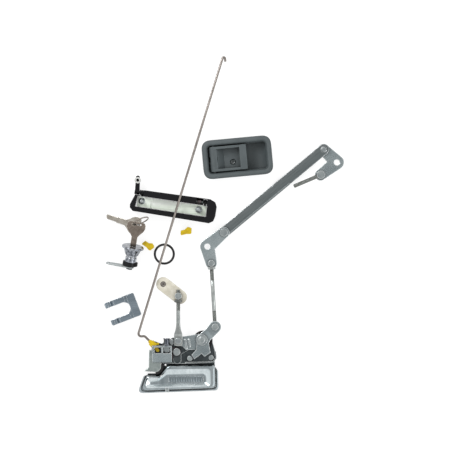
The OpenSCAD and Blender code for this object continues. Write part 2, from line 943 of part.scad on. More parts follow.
// The long leg slopes so that it lies just over the outer handle
rod_rest = 0.4;
rod_rest_z = outer_h + rod_rest + lock_rod_r;
rod_slope = (rod_rest_z - lock_rod_z) / (outer_at.y - rod_corner.y);
rod_apex_z = lock_rod_z + rod_slope * (rod_apex.y - rod_corner.y);
rod_corners = [lift(rod_hook_end, rod_apex_z), lift(rod_apex, rod_apex_z), lift(rod_corner, lock_rod_z),
    lift(rod_elbow, lock_rod_z), lift(lock_pin, lock_rod_z), lift(lock_pin, lock_lever_z + layer_gap)];
bend_radii = [0, hook_bend_r, rod_bend_r, rod_bend_r, rod_bend_r];
rod_points = concat(
    [rod_corners[0]],
    [for (i = [1 : len(rod_corners) - 2])
        each bend(rod_corners[i - 1], rod_corners[i], rod_corners[i + 1], bend_radii[i])],
    [rod_corners[len(rod_corners) - 1]]
);
function rod_along(i) =
    let (n = len(rod_points))
    unit((i < n - 1 ? unit(rod_points[i + 1] - rod_points[i]) : [0, 0, 0])
        + (i > 0 ? unit(rod_points[i] - rod_points[i - 1]) : [0, 0, 0]));
function rod_side(i) =
    let (flat = cross([0, 0, 1], rod_along(i)))
    norm(flat) > 0.02 ? unit(flat) : unit(cross([0, 0, 1], lift(lock_pin, 0) - lift(rod_elbow, 0)));

// The rod as one bar swept along its bends
module rod_path(r) {
    n = len(rod_points);
    rings = [for (i = [0 : n - 1])
        let (s = rod_side(i), up = cross(rod_along(i), s))
        for (k = [0 : rod_sides - 1])
            rod_points[i] + r * (cos(360 * k / rod_sides) * s + sin(360 * k / rod_sides) * up)];
    walls = [for (i = [0 : n - 2], k = [0 : rod_sides - 1])
        let (j = (k + 1) % rod_sides, here = i * rod_sides, next = here + rod_sides)
        [here + k, next + k, next + j, here + j]];
    start = [for (k = [0 : rod_sides - 1]) k];
    finish = [for (k = [rod_sides - 1 : -1 : 0]) (n - 1) * rod_sides + k];
    polyhedron(rings, concat([start, finish], walls));
}

module latch_rod_clip() {
    in_way = unit(rod_elbow - lock_pin);
    color("gold") difference() {
        union() {
            slab(rod_clip_z, rod_clip_h) translate(lock_pin) rotate(atan2(in_way.y, in_way.x))
                square(clip_block, center = true);
            slab(rod_clip_z + clip_step, rod_clip_h - clip_step)
                capsule(lock_pin, lock_pin + clip_neck_l * in_way, clip_neck_r);
            slab(rod_clip_z, clip_tail_h) capsule(lock_pin, lock_pin + clip_tail, clip_tail_r);
            slab(rod_clip_z + clip_step, clip_tail_h) capsule(lock_pin, lock_pin + clip_arm, clip_arm_r);
        }
        rod_path(lock_rod_r + fit);
    }
}

module lock_rod() {
    color("rosybrown") rod_path(lock_rod_r);
}

module loose_rod_clips() {
    outline = [[-8.5, -4.1], [-7.4, -5.8], [0, -3.8], [6.1, -3.8], [7.8, -2.7], [8.1, 4.7], [6.1, 6.1],
        [2, 7], [0, 5.1], [-2, 3], [-8.1, 1.4]];
    snap = [[-12, -4.6], [2, 0.4]];
    pin_hole = [4, 1.5];
    color("gold") for (c = loose_clips) translate([c[0], c[1], 0]) rotate(c[2]) difference() {
        slab(0, rod_clip_h) polygon(outline);
        post(pin_hole, lock_rod_r + fit, -over, rod_clip_h / 2);
        bar_between(lift(snap[0], rod_clip_h / 2), lift(snap[1], rod_clip_h / 2), lock_rod_r);
    }
}

// Inner handle

module inner_bezel() {
    full = [bezel_l, bezel_w];
    tub = full - 2 * [rim_out, rim_out];
    well = full - 2 * [rim_w, rim_w];
    scoop_r = 20;
    scoop_l = 16;
    scoop_x = well.x / 2 - scoop_l;
    scoop_z = scoop_r + tub_floor;
    slot = [20, 7];
    slot_at = [inner_pin_at.x - 5, 6];
    rim_third = rim_round / 3;
    all_round = [1, 1];
    color("#565c5e") at_inner() difference() {
        union() {
            slab(0, bezel_h - rim_h) rounded(tub, bezel_r - rim_out);
            hull() {
                slab(bezel_h - rim_h, rim_h - rim_round) rounded(full, bezel_r);
                slab(bezel_h - rim_third, layer_gap)
                    rounded(full - 2 * rim_third * all_round, bezel_r - rim_third);
                slab(bezel_h - layer_gap, layer_gap)
                    rounded(full - 2 * rim_round * all_round, bezel_r - rim_round);
            }
        }
        difference() {
            slab(tub_floor, bezel_h) rounded(well, well_r);
            difference() {
                translate([scoop_x, -well.y / 2 - over, 0])
                    cube([well.x, well.y + 2 * over, bezel_h - rim_h]);
                bar_between([scoop_x, -well.y, scoop_z], [scoop_x, well.y, scoop_z], scoop_r);
            }
            slab(0, boss_top) disc(inner_screw_at, inner_screw_r + boss_w);
        }
        hull() {
            slab(bezel_h - rim_flare, layer_gap) rounded(well, well_r);
            slab(bezel_h, layer_gap) rounded(well + 2 * rim_flare * all_round, well_r + rim_flare);
        }
        post(inner_screw_at, inner_screw_r + fit, -over, bezel_h);
        bar_between(
            [inner_pin_at.x, -bezel_w / 2 + rim_out - over, inner_pin_at.y],
            [inner_pin_at.x, bezel_w / 2 - rim_out + over, inner_pin_at.y], inner_pin_r + fit);
        slab(-over, tub_floor + 2 * over) translate(slot_at) square(slot);
    }
}

module inner_screw() {
    color("#3c4042") at_inner() difference() {
        union() {
            post(inner_screw_at, inner_screw_r, layer_gap, boss_top + layer_gap);
            post(inner_screw_at, screw_head_r, boss_top + layer_gap, boss_top + screw_head_h);
        }
        translate(lift(inner_screw_at, boss_top + screw_head_h / 3))
            cylinder(h = screw_head_h, r = screw_head_r / 2, $fn = 6);
    }
}

module inner_lever() {
    wall = 3.5;
    high = 22;
    crown = 1;
    floor_z = 8.5;
    floor_t = 2.2;
    slope = [5, 16];
    bar_l = 10;
    bar_lift = 4;
    bar_r = 3;
    web = 3.5;
    tail = [5, 4];
    tail_at = 7.5;
    left = inner_pin_at.x;
    reach = lever_end - left;
    color("#53595b") at_inner() difference() {
        union() {
            bar_between([left, -lever_half, inner_pin_at.y], [left, lever_half, inner_pin_at.y], barrel_r);
            for (s = [-1, 1]) translate([left, s * (lever_half - wall / 2), 0])
                rotate([90, 0, 0]) linear_extrude(wall, center = true)
                    polygon([[0, inner_pin_at.y - barrel_r], [slope[0], floor_z],
                        [reach, floor_z + bar_lift], [reach, high], [0, high + crown]]);
            translate([left, 0, 0]) rotate([90, 0, 0]) linear_extrude(2 * lever_half, center = true)
                polygon([[0, inner_pin_at.y - barrel_r], [slope[0], floor_z], [reach - bar_l, floor_z],
                    [reach - bar_l, floor_z + floor_t], [slope[1], floor_z + floor_t],
                    [slope[0], inner_pin_at.y + barrel_r - crown], [0, inner_pin_at.y + barrel_r - crown]]);
            slab(floor_z + bar_lift, high + crown - floor_z - bar_lift)
                translate([lever_end - bar_l / 2, 0]) rounded([bar_l, 2 * lever_half], bar_r);
            translate([lever_end - bar_l - over, -lever_half, floor_z])
                cube([web, 2 * lever_half, bar_lift + over]);
            translate([left - tail[0] / 2, tail_at, over]) cube([tail[0], tail[1], inner_pin_at.y - over]);
        }
        bar_between(
            [left, -lever_half - over, inner_pin_at.y],
            [left, lever_half + over, inner_pin_at.y], inner_pin_r + fit);
        translate([left - barrel_r - over, -spring_room / 2, inner_pin_at.y - barrel_r - over])
            cube([barrel_r * 2 + over, spring_room, barrel_r * 2 - over]);
        post(inner_screw_at, screw_head_r + gap, floor_z - over, floor_z + floor_t + over);
    }
}

module inner_pin() {
    half = bezel_w / 2 - rim_out - gap;
    color("silver") at_inner() bar_between(
        [inner_pin_at.x, -half, inner_pin_at.y], [inner_pin_at.x, half, inner_pin_at.y], inner_pin_r);
}

module inner_spring() {
    start = 3;
    clear = 1;
    wire_r = 0.7;
    turns = 4;
    color("#2b2d30") at_inner() translate([inner_pin_at.x, start, inner_pin_at.y]) rotate([90, 0, 0])
        coil(inner_pin_r + clear, wire_r, turns);
}

// Outer handle, lying on its face

outer_outline = [[-51.5, 17.5], [-51.5, 9.5], [-58, 9.5], [-63.5, -6], [-63, -11], [-58, -15.5], [57, -17],
    [63, -13], [65, -5], [65, 9], [62, 15.5], [54, 18.8]];
opening_skew = [-0.5, 1];
outer_open = [[opening[0] + opening_skew[0], -opening_half], [opening[1], -opening_half],
    [opening[1], opening_half], [opening[0] + opening_skew[1], opening_half]];

// Round bar on the shaft's axis, from end to end along the handle
module on_shaft(ends, r) {
    bar_between([ends[0], shaft_at[0], shaft_at[1]], [ends[1], shaft_at[0], shaft_at[1]], r);
}

frame_bore = [-70, 55];
grip_bore = [-70, 70];
arm_bore = [-70, -50];

module outer_frame() {
    edge = 1.5;
    color("#17181a") at_outer() difference() {
        union() {
            slab(0, outer_h - edge) polygon(outer_outline);
            slab(outer_h - edge, edge) offset(delta = -edge) polygon(outer_outline);
        }
        slab(-over, outer_h + 2 * over) polygon(outer_open);
        on_shaft(frame_bore, outer_shaft_r + fit);
        for (i = [0, 1]) translate([knuckles[i][0] - knuckle_side, opening_half - over, -over])
            cube([knuckles[i][1] - knuckles[i][0] + 2 * knuckle_side, notch_ends[i] - opening_half + over,
                outer_h + 2 * over]);
        translate([spring_pocket[0], opening_half - over, pocket_floor])
            cube([spring_pocket[1] - spring_pocket[0], notch_ends[1] - opening_half + over, outer_h]);
    }
}

module outer_grip() {
    edge_y = 4;
    grip_t = 3;
    heel = [10.2, 1.6];
    outline = [[-53, edge_y], [-54, -7.5], [49.5, -7.5], [49.5, edge_y]];
    color("#1b1c1e") at_outer() difference() {
        union() {
            slab(0, grip_t) polygon(outline);
            for (k = knuckles) {
                translate([k[0], 0, 0]) rotate([90, 0, 90]) linear_extrude(k[1] - k[0])
                    tapered(shaft_at, knuckle_r, heel, heel[1]);
                translate([k[0], edge_y - over, 0]) cube([k[1] - k[0], heel[0] - edge_y + over, grip_t]);
            }
        }
        on_shaft(grip_bore, outer_shaft_r + fit);
    }
}

module outer_shaft() {
    color("silver") at_outer() on_shaft(shaft_ends, outer_shaft_r);
}

arm_x = [-59.5, -52.5];
arm_tip = 38;
bush_y = 31;

module outer_arm() {
    thick = 5;
    hub_w = 1.2;
    root_r = 3.5;
    tip_r = 3;
    root = [arm_x[0] + root_r, shaft_at[0] + 3];
    tip = [arm_x[0] + 1.5, arm_tip - tip_r];
    color("#1b1c1e") at_outer() difference() {
        union() {
            on_shaft(arm_x, outer_shaft_r + hub_w);
            slab(shaft_at[1] - thick / 2, thick) tapered(root, root_r, tip, tip_r);
        }
        on_shaft(arm_bore, outer_shaft_r + fit);
    }
}

module arm_bush() {
    at = [arm_x[0] + 2, bush_y];
    lift_z = 2.5;
    high = 3;
    bush_r = 4.8;
    bore_r = 2.2;
    color("lightgray") at_outer() slab(shaft_at[1] + lift_z, high) difference() {
        disc(at, bush_r);
        disc(at, bore_r);
    }
}

module outer_plate() {
    t = 1.5;
    end_gaps = [1.2, 0.3];
    bends = [-34, -31, 11, 14];
    profile = [[opening[0] + end_gaps[0], plate_pad[0]], [bends[0], plate_pad[0]], [bends[1], plate_low],
        [bends[2], plate_low], [bends[3], plate_pad[1]], [opening[1] - end_gaps[1], plate_pad[1]]];
    under = [for (i = [len(profile) - 1 : -1 : 0]) profile[i] - [0, t]];
    color("honeydew") at_outer() difference() {
        translate([0, opening_half - gap, 0]) rotate([90, 0, 0])
            linear_extrude(2 * (opening_half - gap)) polygon(concat(profile, under));
        for (i = [0, 1]) post(stud_places[i], stud_r + fit, plate_pad[i] - t - over, plate_pad[i] + over);
    }
}

module outer_studs() {
    sink = 2.5;
    below = 1;
    collar_w = 2;
    collar_h = 1.5;
    color("silver") at_outer() for (i = [0, 1]) {
        post(stud_places[i], stud_r, plate_pad[i] - sink, outer_h - below);
        post(stud_places[i], stud_r + collar_w, plate_pad[i], plate_pad[i] + collar_h);
    }
}

module outer_spring() {
    start = 35;
    clear = 0.9;
    wire_r = 0.6;
    turns = 6;
    color("#3a3c3e") at_outer() translate([start, shaft_at[0], shaft_at[1]]) rotate([0, 90, 0])
        coil(outer_shaft_r + clear, wire_r, turns);
}

// Key lock, built along its own axis with the head face at zero

module lock_housing() {
    cup = 13;
    cup_step = 1.5;
    edge = 1;
    shoulder = [3, 0.8];
    groove = [2, 4];
    groove_d = 1;
    ear_reach = 11;
    ear_r = 3;
    ear_t = 3;
    ear_sink = 0.5;
    profile = [[plug_r + fit, 0], [head_r - edge, 0], [head_r, -edge], [head_r, -rim_t],
        [head_r - shoulder[0], -rim_t - shoulder[1]], [body_r + cup_step, -cup], [body_r, -cup],
        [body_r, -cup - groove[0]], [body_r - groove_d, -cup - groove[0]],
        [body_r - groove_d, -cup - groove[1]], [body_r, -cup - groove[1]], [body_r, body_end],
        [plug_r + fit, body_end]];
    color("gainsboro") at_lock() {
        rotate_extrude() polygon(profile);
        slab(body_end, ear_t) difference() {
            capsule([0, ear_r - ear_reach], [0, ear_reach - ear_r], ear_r);
            disc([0, 0], body_r - ear_sink);
        }
    }
}

module lock_plug() {
    color("silver") at_lock() difference() {
        union() {
            post([0, 0], plug_r, body_end - plug_past, plug_proud);
            post([0, 0], tail_r, cam_z - tail_past, body_end + plug_past);
        }
        translate([0, 0, -blade_len / 2]) cube([key_t, blade_w, blade_len] + key_clear, center = true);
    }
}

module cam_lever() {
    color("silver") at_lock() slab(cam_z, cam_t) difference() {
        tapered([0, 0], cam_hub_r, [0, cam_len], cam_r);
        disc([0, 0], tail_r + fit);
        disc([0, cam_len], cam_eye_r);
    }
}

module cam_nut() {
    cap_t = 1;
    color("gray") at_lock() translate([0, 0, cam_z - layer_gap - cam_nut_t]) difference() {
        cylinder(h = cam_nut_t, r = cam_nut_r, $fn = 6);
        translate([0, 0, cap_t]) cylinder(h = cam_nut_t, r = tail_r + fit);
    }
}

// Key along its axis, tip down, with its flat across X
module key_shape() {
    half = blade_w / 2;
    shoulder = half + 0.9;
    bow = [[10, 10], [12.5, 8.8], [13.8, 6], [13.8, 1], [11.5, -4], [7, -9], [shoulder, -13]];
    blade = [[shoulder, 0.5], [half, 0.5], [half, 1 - blade_len], [1, -blade_len], [-half, 2.5 - blade_len],
        [-half, 0.5], [-shoulder, 0.5]];
    outline = concat([for (p = bow) [p.x, bow_mid + p.y]], blade,
        [for (i = [len(bow) - 1 : -1 : 0]) [-bow[i].x, bow_mid + bow[i].y]]);
    bow_slot = [[-6, 6.5], [-2, 6.5]];
    slot_r = 1.3;
    hole_half = 1.5;
    hole_r = 2;
    rotate([90, 0, 90]) linear_extrude(key_t, center = true) difference() {
        polygon(outline);
        capsule([key_hole.x - hole_half, key_hole.y], [key_hole.x + hole_half, key_hole.y], hole_r);
        translate([0, bow_mid]) capsule(bow_slot[0], bow_slot[1], slot_r);
    }
}

module key() {
    color("rosybrown") at_lock() key_shape();
}

// Place on the ring, a given angle on from the key's hole, in the lock's own frame
function on_ring(step) = [0, key_hole.x, key_hole.y]
    + turn_x(turn_y([ring_r * sin(step), ring_r * cos(step) - ring_r, 0], ring_lean), ring_swing);
function lock_to_bench(v) = lift(lock_at, lock_z) + turn_z(turn_y(v, 90 - lock_tilt), lock_turn);

module spare_key() {
    at = lock_to_bench(on_ring(spare_step));
    slope = asin((at.z - spare_tip_z) / (key_hole.y + blade_len));
    color("rosybrown") translate(at) rotate([0, 90 - slope, spare_heading])
        translate([0, -key_hole.x, -key_hole.y]) key_shape();
}

module key_ring() {
    color("silver") at_lock() translate([0, key_hole.x, key_hole.y]) rotate([ring_swing, 0, 0])
        rotate([0, ring_lean, 0]) translate([0, -ring_r, 0])
            rotate_extrude() translate([ring_r, 0]) circle(ring_wire_r, $fn = 24);
}

// Loose pieces

module gasket() {
    color("#141414") translate(lift(gasket_at, gasket_wire_r))
        rotate_extrude() translate([gasket_r, 0]) circle(gasket_wire_r);
}

module retaining_clip() {
    back_z = 1;
    arch_run = 4;
    arch_z = [4, 4.5];
    foot = [14, 9, 5];
    toe_z = 3.5;
    profile = [[0, back_z], [clip_back, back_z], [clip_back + arch_run, arch_z[0]],
        [clip_l - foot[0], arch_z[1]], [clip_l - foot[1], 0], [clip_l - foot[2], 0], [clip_l, toe_z]];
    corner = 2.5;
    high = 12;
    upper = [for (i = [len(profile) - 1 : -1 : 0]) profile[i] + [0, clip_t]];
    color("lightslategray") translate(clip_at) rotate(clip_turn) intersection() {
        translate([0, clip_w / 2, 0]) rotate([90, 0, 0]) linear_extrude(clip_w)
            polygon(concat(profile, upper));
        slab(-over, high) difference() {
            translate([clip_l / 2, 0]) rounded([clip_l, clip_w], corner);
            capsule([clip_back + clip_slot / 2, 0], [clip_l + clip_slot, 0], clip_slot / 2);
        }
    }
}

back_plate();
latch_cover();
mechanism_plate();
spacer_posts();
release_pivot();
friction_disc();
window_bracket();
spring_barrel();
claw_pin();
claw_spring();
lock_pivot();
latch_claw();
claw_bumper();
pawl();
pawl_shaft();
pawl_lever();
pawl_spring();
handle_lever();
push_rod_rivet();
release_lever();
push_rod();
push_rod_nut();
transfer_trunnion();
transfer_link();
link_stud();
link_rod();
link_nut();
link_trunnions();
bell_crank();
flat_bar();
bar_rivets();
end_crank();
stub_trunnion();
stub_rod();
lock_lever();
latch_rod_clip();
lock_rod();
loose_rod_clips();
inner_bezel();
inner_screw();
inner_lever();
inner_pin();
inner_spring();
outer_frame();
outer_grip();
outer_shaft();
outer_arm();
arm_bush();
outer_plate();
outer_studs();
outer_spring();
lock_housing();
lock_plug();
cam_lever();
cam_nut();
key();
spare_key();
key_ring();
gasket();
retaining_clip();
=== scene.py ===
"""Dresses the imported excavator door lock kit: plated steel, moulded plastic and rubber on a white bench."""

from __future__ import annotations

import json
import logging
import math
from dataclasses import dataclass, field
from enum import Enum

import bmesh
import bpy
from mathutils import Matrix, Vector

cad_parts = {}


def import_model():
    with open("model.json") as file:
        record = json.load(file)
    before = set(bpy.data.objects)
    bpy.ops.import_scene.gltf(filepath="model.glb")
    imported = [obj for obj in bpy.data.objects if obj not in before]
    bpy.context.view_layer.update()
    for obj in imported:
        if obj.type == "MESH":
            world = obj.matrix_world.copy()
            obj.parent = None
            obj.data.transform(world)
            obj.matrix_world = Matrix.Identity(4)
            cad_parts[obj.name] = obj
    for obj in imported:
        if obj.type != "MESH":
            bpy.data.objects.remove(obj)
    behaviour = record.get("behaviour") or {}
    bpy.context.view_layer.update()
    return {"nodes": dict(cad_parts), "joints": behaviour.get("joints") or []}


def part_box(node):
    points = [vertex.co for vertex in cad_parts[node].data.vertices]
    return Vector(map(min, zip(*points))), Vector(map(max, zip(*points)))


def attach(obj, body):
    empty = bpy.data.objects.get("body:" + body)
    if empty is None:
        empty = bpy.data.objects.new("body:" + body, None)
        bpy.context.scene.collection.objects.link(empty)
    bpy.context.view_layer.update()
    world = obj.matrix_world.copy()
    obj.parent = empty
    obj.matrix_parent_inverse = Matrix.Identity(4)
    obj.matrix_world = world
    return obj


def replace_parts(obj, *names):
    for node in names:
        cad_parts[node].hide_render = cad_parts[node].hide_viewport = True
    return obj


LOG = logging.getLogger("door_lock")
MM = 0.001

Colour = tuple[float, float, float, float]
Point = tuple[float, float, float]
Flat = tuple[float, float]
UP = Vector((0.0, 0.0, 1.0))
WHITE = "#ffffff"


def linear(hex_colour: str) -> Colour:
    """Turns an sRGB hex colour into a linear one.

    Args:
        hex_colour: Colour such as "#a0b0c0".

    Returns:
        Red, green, blue and alpha, linear.
    """
    parts = [int(hex_colour[i:i + 2], 16) / 255 for i in (1, 3, 5)]
    red, green, blue = [c / 12.92 if c <= 0.04045 else ((c + 0.055) / 1.055) ** 2.4 for c in parts]
    return red, green, blue, 1.0


def add_node(tree: bpy.types.NodeTree, kind: str, inputs: dict | None = None, links: dict | None = None,
             **settings: object) -> bpy.types.Node:
    """Adds a node with its settings, input values and links.

    Args:
        tree: Tree that gets the node.
        kind: Blender's name of the node type.
        inputs: Values by socket name or number.
        links: Output sockets by the input's name or number.
        **settings: Attributes of the node.

    Returns:
        The new node.
    """
    made = tree.nodes.new(kind)
    for name, value in settings.items():
        setattr(made, name, value)
    for name, value in (inputs or {}).items():
        made.inputs[name].default_value = value
    for name, source in (links or {}).items():
        tree.links.new(source, made.inputs[name])
    return made


class Grain(Enum):
    """Way in which a surface's fine marks run: a scale under one draws them out along that axis."""

    EVEN = (1.0, 1.0, 1.0)
    ALONG_X = (0.04, 1.0, 1.0)
    ALONG_Y = (1.0, 0.04, 1.0)
    ALONG_BAR = (0.05, 1.0, 1.0)


# Angle of the flat bar in the layout, which its rolling lines follow.
BAR_ANGLE = math.radians(39.8)
# Ranges of the noise that hold nearly all of it, for fine marks and for drifting patches.
MARKS = {"From Min": 0.3, "From Max": 0.7}
PATCHES = {"From Min": 0.35, "From Max": 0.65}
# Shares of the colour and of the mean roughness that the fine marks swing between.
FLECKS = {**MARKS, "To Min": 0.9, "To Max": 1.08}
LEAST_ROUGH, MOST_ROUGH = 0.8, 1.25
# Agreement of the rounded normal with the true one, from a plain face to the full edge colour, which is
# partly wear and partly a painted highlight.
EDGE_WEAR_AND_HIGHLIGHT = {"From Min": 0.995, "From Max": 0.86}
# Reach of the painted shade in corners, which also stands for soiling, and the openness between full painted
# shade and none.
CORNER_MM = 5.0
CORNERS = {"From Min": 0.2, "From Max": 0.9}
# How far the fine marks tilt the shading.
BUMP_STRENGTH = 0.6


@dataclass(frozen=True)
class Finish:
    """A real material with its colours, gloss and fine marks, and with painted edge highlights and painted
    shade in corners.

    Attributes:
        name: Common name of the material and how it was made.
        colour: Main colour.
        cloud: Colour that the main one drifts towards, which on chrome is a painted dark reflection.
        edge: Colour on edges, partly wear and partly a painted highlight where edges would catch the light.
        metallic: One for plated and bare metal, nought for plastics, rubber, enamel and chromate film.
        roughness: Mean roughness.
        cloud_mm: Size of the drifting patches.
        grain_mm: Size of the fine marks.
        depth_mm: Height of the fine marks.
        edge_mm: Reach of the rounded shading at edges and of the edge colour.
        grain: Direction of the fine marks.
        gloss: Strength of the mirror reflection on plastics and enamel.
        corner_shade_and_soil: Painted shade in corners, which also stands for soiling.
    """

    name: str
    colour: str
    cloud: str
    edge: str
    metallic: float
    roughness: float
    cloud_mm: float
    grain_mm: float
    depth_mm: float
    edge_mm: float
    grain: Grain = Grain.EVEN
    gloss: float = 0.5
    corner_shade_and_soil: float = 0.5

    def material(self) -> bpy.types.Material:
        """Makes the material, or finds it where it was made before.

        Returns:
            The node material.
        """
        found = bpy.data.materials.get(self.name)
        if found:
            return found
        made = bpy.data.materials.new(self.name)
        made.use_nodes = True
        tree = made.node_tree
        tree.nodes.clear()
        place = self._place(tree)
        noise = add_node(tree, "ShaderNodeTexNoise",
                         {"Scale": 1 / (self.grain_mm * MM), "Detail": 3.0, "Roughness": 0.6},
                         {"Vector": place})
        marks = noise.outputs["Fac"]
        swing = {**MARKS, "To Min": self.roughness * LEAST_ROUGH, "To Max": self.roughness * MOST_ROUGH}
        rough = add_node(tree, "ShaderNodeMapRange", swing, {"Value": marks})
        soft = add_node(tree, "ShaderNodeBevel", {"Radius": self.edge_mm * MM}, samples=6)
        bump = add_node(tree, "ShaderNodeBump", {"Strength": BUMP_STRENGTH, "Distance": self.depth_mm * MM},
                        {"Height": marks, "Normal": soft.outputs["Normal"]})
        shader = add_node(tree, "ShaderNodeBsdfPrincipled",
                          {"Metallic": self.metallic, "Specular IOR Level": self.gloss},
                          {"Base Color": self._colour(tree, place, marks),
                           "Roughness": rough.outputs["Result"], "Normal": bump.outputs["Normal"]})
        add_node(tree, "ShaderNodeOutputMaterial", links={"Surface": shader.outputs["BSDF"]})
        made.diffuse_color = linear(self.colour)
        return made

    def _place(self, tree: bpy.types.NodeTree) -> bpy.types.NodeSocket:
        """Gives the coordinates of the fine marks, drawn out along the way they run.

        Args:
            tree: Tree of the material.

        Returns:
            Socket of the coordinates.
        """
        where = add_node(tree, "ShaderNodeTexCoord")
        turn = BAR_ANGLE if self.grain is Grain.ALONG_BAR else 0.0
        flat = add_node(tree, "ShaderNodeMapping", {"Rotation": (0.0, 0.0, -turn)},
                        {"Vector": where.outputs["Object"]})
        drawn = add_node(tree, "ShaderNodeMapping", {"Scale": self.grain.value},
                         {"Vector": flat.outputs["Vector"]})
        return drawn.outputs["Vector"]

    def _colour(self, tree: bpy.types.NodeTree, place: bpy.types.NodeSocket,
                marks: bpy.types.NodeSocket) -> bpy.types.NodeSocket:
        """Mixes the drifting colour, the fine marks, the edge colour that is both wear and painted highlight,
        and painted shade in corners that also stands for soiling.

        Args:
            tree: Tree of the material.
            place: Coordinates of the fine marks.
            marks: Strength of the fine marks.

        Returns:
            Colour socket.
        """
        patches = add_node(tree, "ShaderNodeTexNoise", {"Scale": 1 / (self.cloud_mm * MM), "Detail": 4.0},
                           {"Vector": place})
        drift = add_node(tree, "ShaderNodeMapRange", PATCHES, {"Value": patches.outputs["Fac"]})
        base = add_node(tree, "ShaderNodeMix", {6: linear(self.colour), 7: linear(self.cloud)},
                        {0: drift.outputs["Result"]}, data_type="RGBA")
        fleck = add_node(tree, "ShaderNodeMapRange", FLECKS, {"Value": marks})
        flecked = add_node(tree, "ShaderNodeVectorMath",
                           links={0: base.outputs[2], 1: fleck.outputs["Result"]}, operation="MULTIPLY")
        rounded = add_node(tree, "ShaderNodeBevel", {"Radius": self.edge_mm * MM}, samples=4)
        shape = add_node(tree, "ShaderNodeNewGeometry")
        facing = add_node(tree, "ShaderNodeVectorMath",
                          links={0: rounded.outputs["Normal"], 1: shape.outputs["Normal"]},
                          operation="DOT_PRODUCT")
        # Near-white edge colour: partly wear, partly a painted highlight along every edge.
        wear_and_highlight = add_node(tree, "ShaderNodeMapRange", EDGE_WEAR_AND_HIGHLIGHT, {"Value": facing.outputs["Value"]})
        edged = add_node(tree, "ShaderNodeMix", {7: linear(self.edge)},
                         {0: wear_and_highlight.outputs["Result"], 6: flecked.outputs["Vector"]}, data_type="RGBA")
        # Painted shade: the colour darkens where nearby surfaces close a point in, in corners, recesses and
        # under parts. This also stands for soiling.
        corner = add_node(tree, "ShaderNodeAmbientOcclusion", {"Distance": CORNER_MM * MM}, samples=8)
        shade_and_soil = add_node(tree, "ShaderNodeMapRange", {**CORNERS, "To Min": 1.0 - self.corner_shade_and_soil},
                         {"Value": corner.outputs["AO"]})
        final = add_node(tree, "ShaderNodeVectorMath",
                         links={0: edged.outputs[2], 1: shade_and_soil.outputs["Result"]}, operation="MULTIPLY")
        return final.outputs["Vector"]


# Real plating grain, draw lines and moulding grain are mostly finer than 0.2 mm. The fine marks of these
# finishes are drawn about half a millimetre to a millimetre wide, and longer on rods, so that they show.

# Bright zinc on rolled sheet: cool grey, faint rolling lines, and edges painted brighter, partly as wear and
# partly as a painted highlight.
ZINC = Finish(
    "zinc plated rolled steel", "#959ea0", "#818b8e", "#f8fbfb", metallic=1.0, roughness=0.28,
    cloud_mm=26.0, grain_mm=0.9, depth_mm=0.012, edge_mm=1.5, corner_shade_and_soil=0.9)
# The same sheet deep in the latch, painted darker to stand for its shade.
ZINC_SHADED = Finish(
    "zinc plated steel painted darker as shade", "#4e5456", "#3c4143", "#e4e9e9", metallic=1.0, roughness=0.32,
    cloud_mm=14.0, grain_mm=0.9, depth_mm=0.02, edge_mm=1.4, corner_shade_and_soil=0.9)
# The same plating when fresh: paler and a little cooler.
ZINC_NEW = Finish(
    "fresh zinc plated rolled steel", "#a0a9ab", "#8f9a9c", "#f8fbfb", metallic=1.0, roughness=0.3,
    cloud_mm=22.0, grain_mm=0.9, depth_mm=0.012, edge_mm=1.3, corner_shade_and_soil=0.85)
# Plated flat bar: darker grey with rolling lines along it.
ZINC_BAR = Finish(
    "zinc plated flat bar", "#777c7d", "#676e6f", "#f0f2f4", metallic=1.0, roughness=0.32,
    cloud_mm=40.0, grain_mm=1.1, depth_mm=0.012, edge_mm=1.3, grain=Grain.ALONG_BAR, corner_shade_and_soil=0.8)
# The same plating over a deep pressing: smoother, brighter, with streaks from the draw.
ZINC_PAN = Finish(
    "zinc plated pressing", "#a8b0b3", "#858f93", "#fafcfc", metallic=1.0, roughness=0.22,
    cloud_mm=16.0, grain_mm=1.2, depth_mm=0.012, edge_mm=1.2, grain=Grain.ALONG_Y, corner_shade_and_soil=0.95)
# The slope round the sunken panel, painted brighter than the pressing as a highlight.
ZINC_HIGHLIGHT = Finish(
    "zinc painted bright as highlight", "#d0d8da", "#b6c0c3", "#fdffff", metallic=1.0, roughness=0.2,
    cloud_mm=12.0, grain_mm=1.0, depth_mm=0.008, edge_mm=1.0, grain=Grain.ALONG_Y, corner_shade_and_soil=0.7)
# Reeds on the sunken floor, painted darker than the pressing as shade, with the painted edge highlight on
# their crests.
ZINC_REED = Finish(
    "zinc plated pressed reeds", "#7a8387", "#687175", "#fdffff", metallic=1.0, roughness=0.24,
    cloud_mm=9.0, grain_mm=1.0, depth_mm=0.01, edge_mm=0.8, grain=Grain.ALONG_Y, corner_shade_and_soil=0.95)
# Hardened claw: paler, with a green tint from the passivation.
ZINC_CLAW = Finish(
    "passivated zinc on forged steel", "#a3acaa", "#8b9492", "#f6faf8", metallic=1.0, roughness=0.34,
    cloud_mm=7.0, grain_mm=0.9, depth_mm=0.02, edge_mm=1.3, corner_shade_and_soil=0.8)
# Turned and riveted pieces: bright rims and dull faces.
ZINC_TURNED = Finish(
    "zinc plated turned steel", "#9fa6a6", "#899092", "#fbfdfd", metallic=1.0, roughness=0.34,
    cloud_mm=8.0, grain_mm=0.6, depth_mm=0.01, edge_mm=1.1, corner_shade_and_soil=0.95)
# Cold drawn rod: dull grey brown with draw lines.
DRAWN = Finish(
    "cold drawn steel rod", "#8e8883", "#76706b", "#c6c0b8", metallic=1.0, roughness=0.24,
    cloud_mm=60.0, grain_mm=9.0, depth_mm=0.006, edge_mm=0.5, corner_shade_and_soil=0.6)
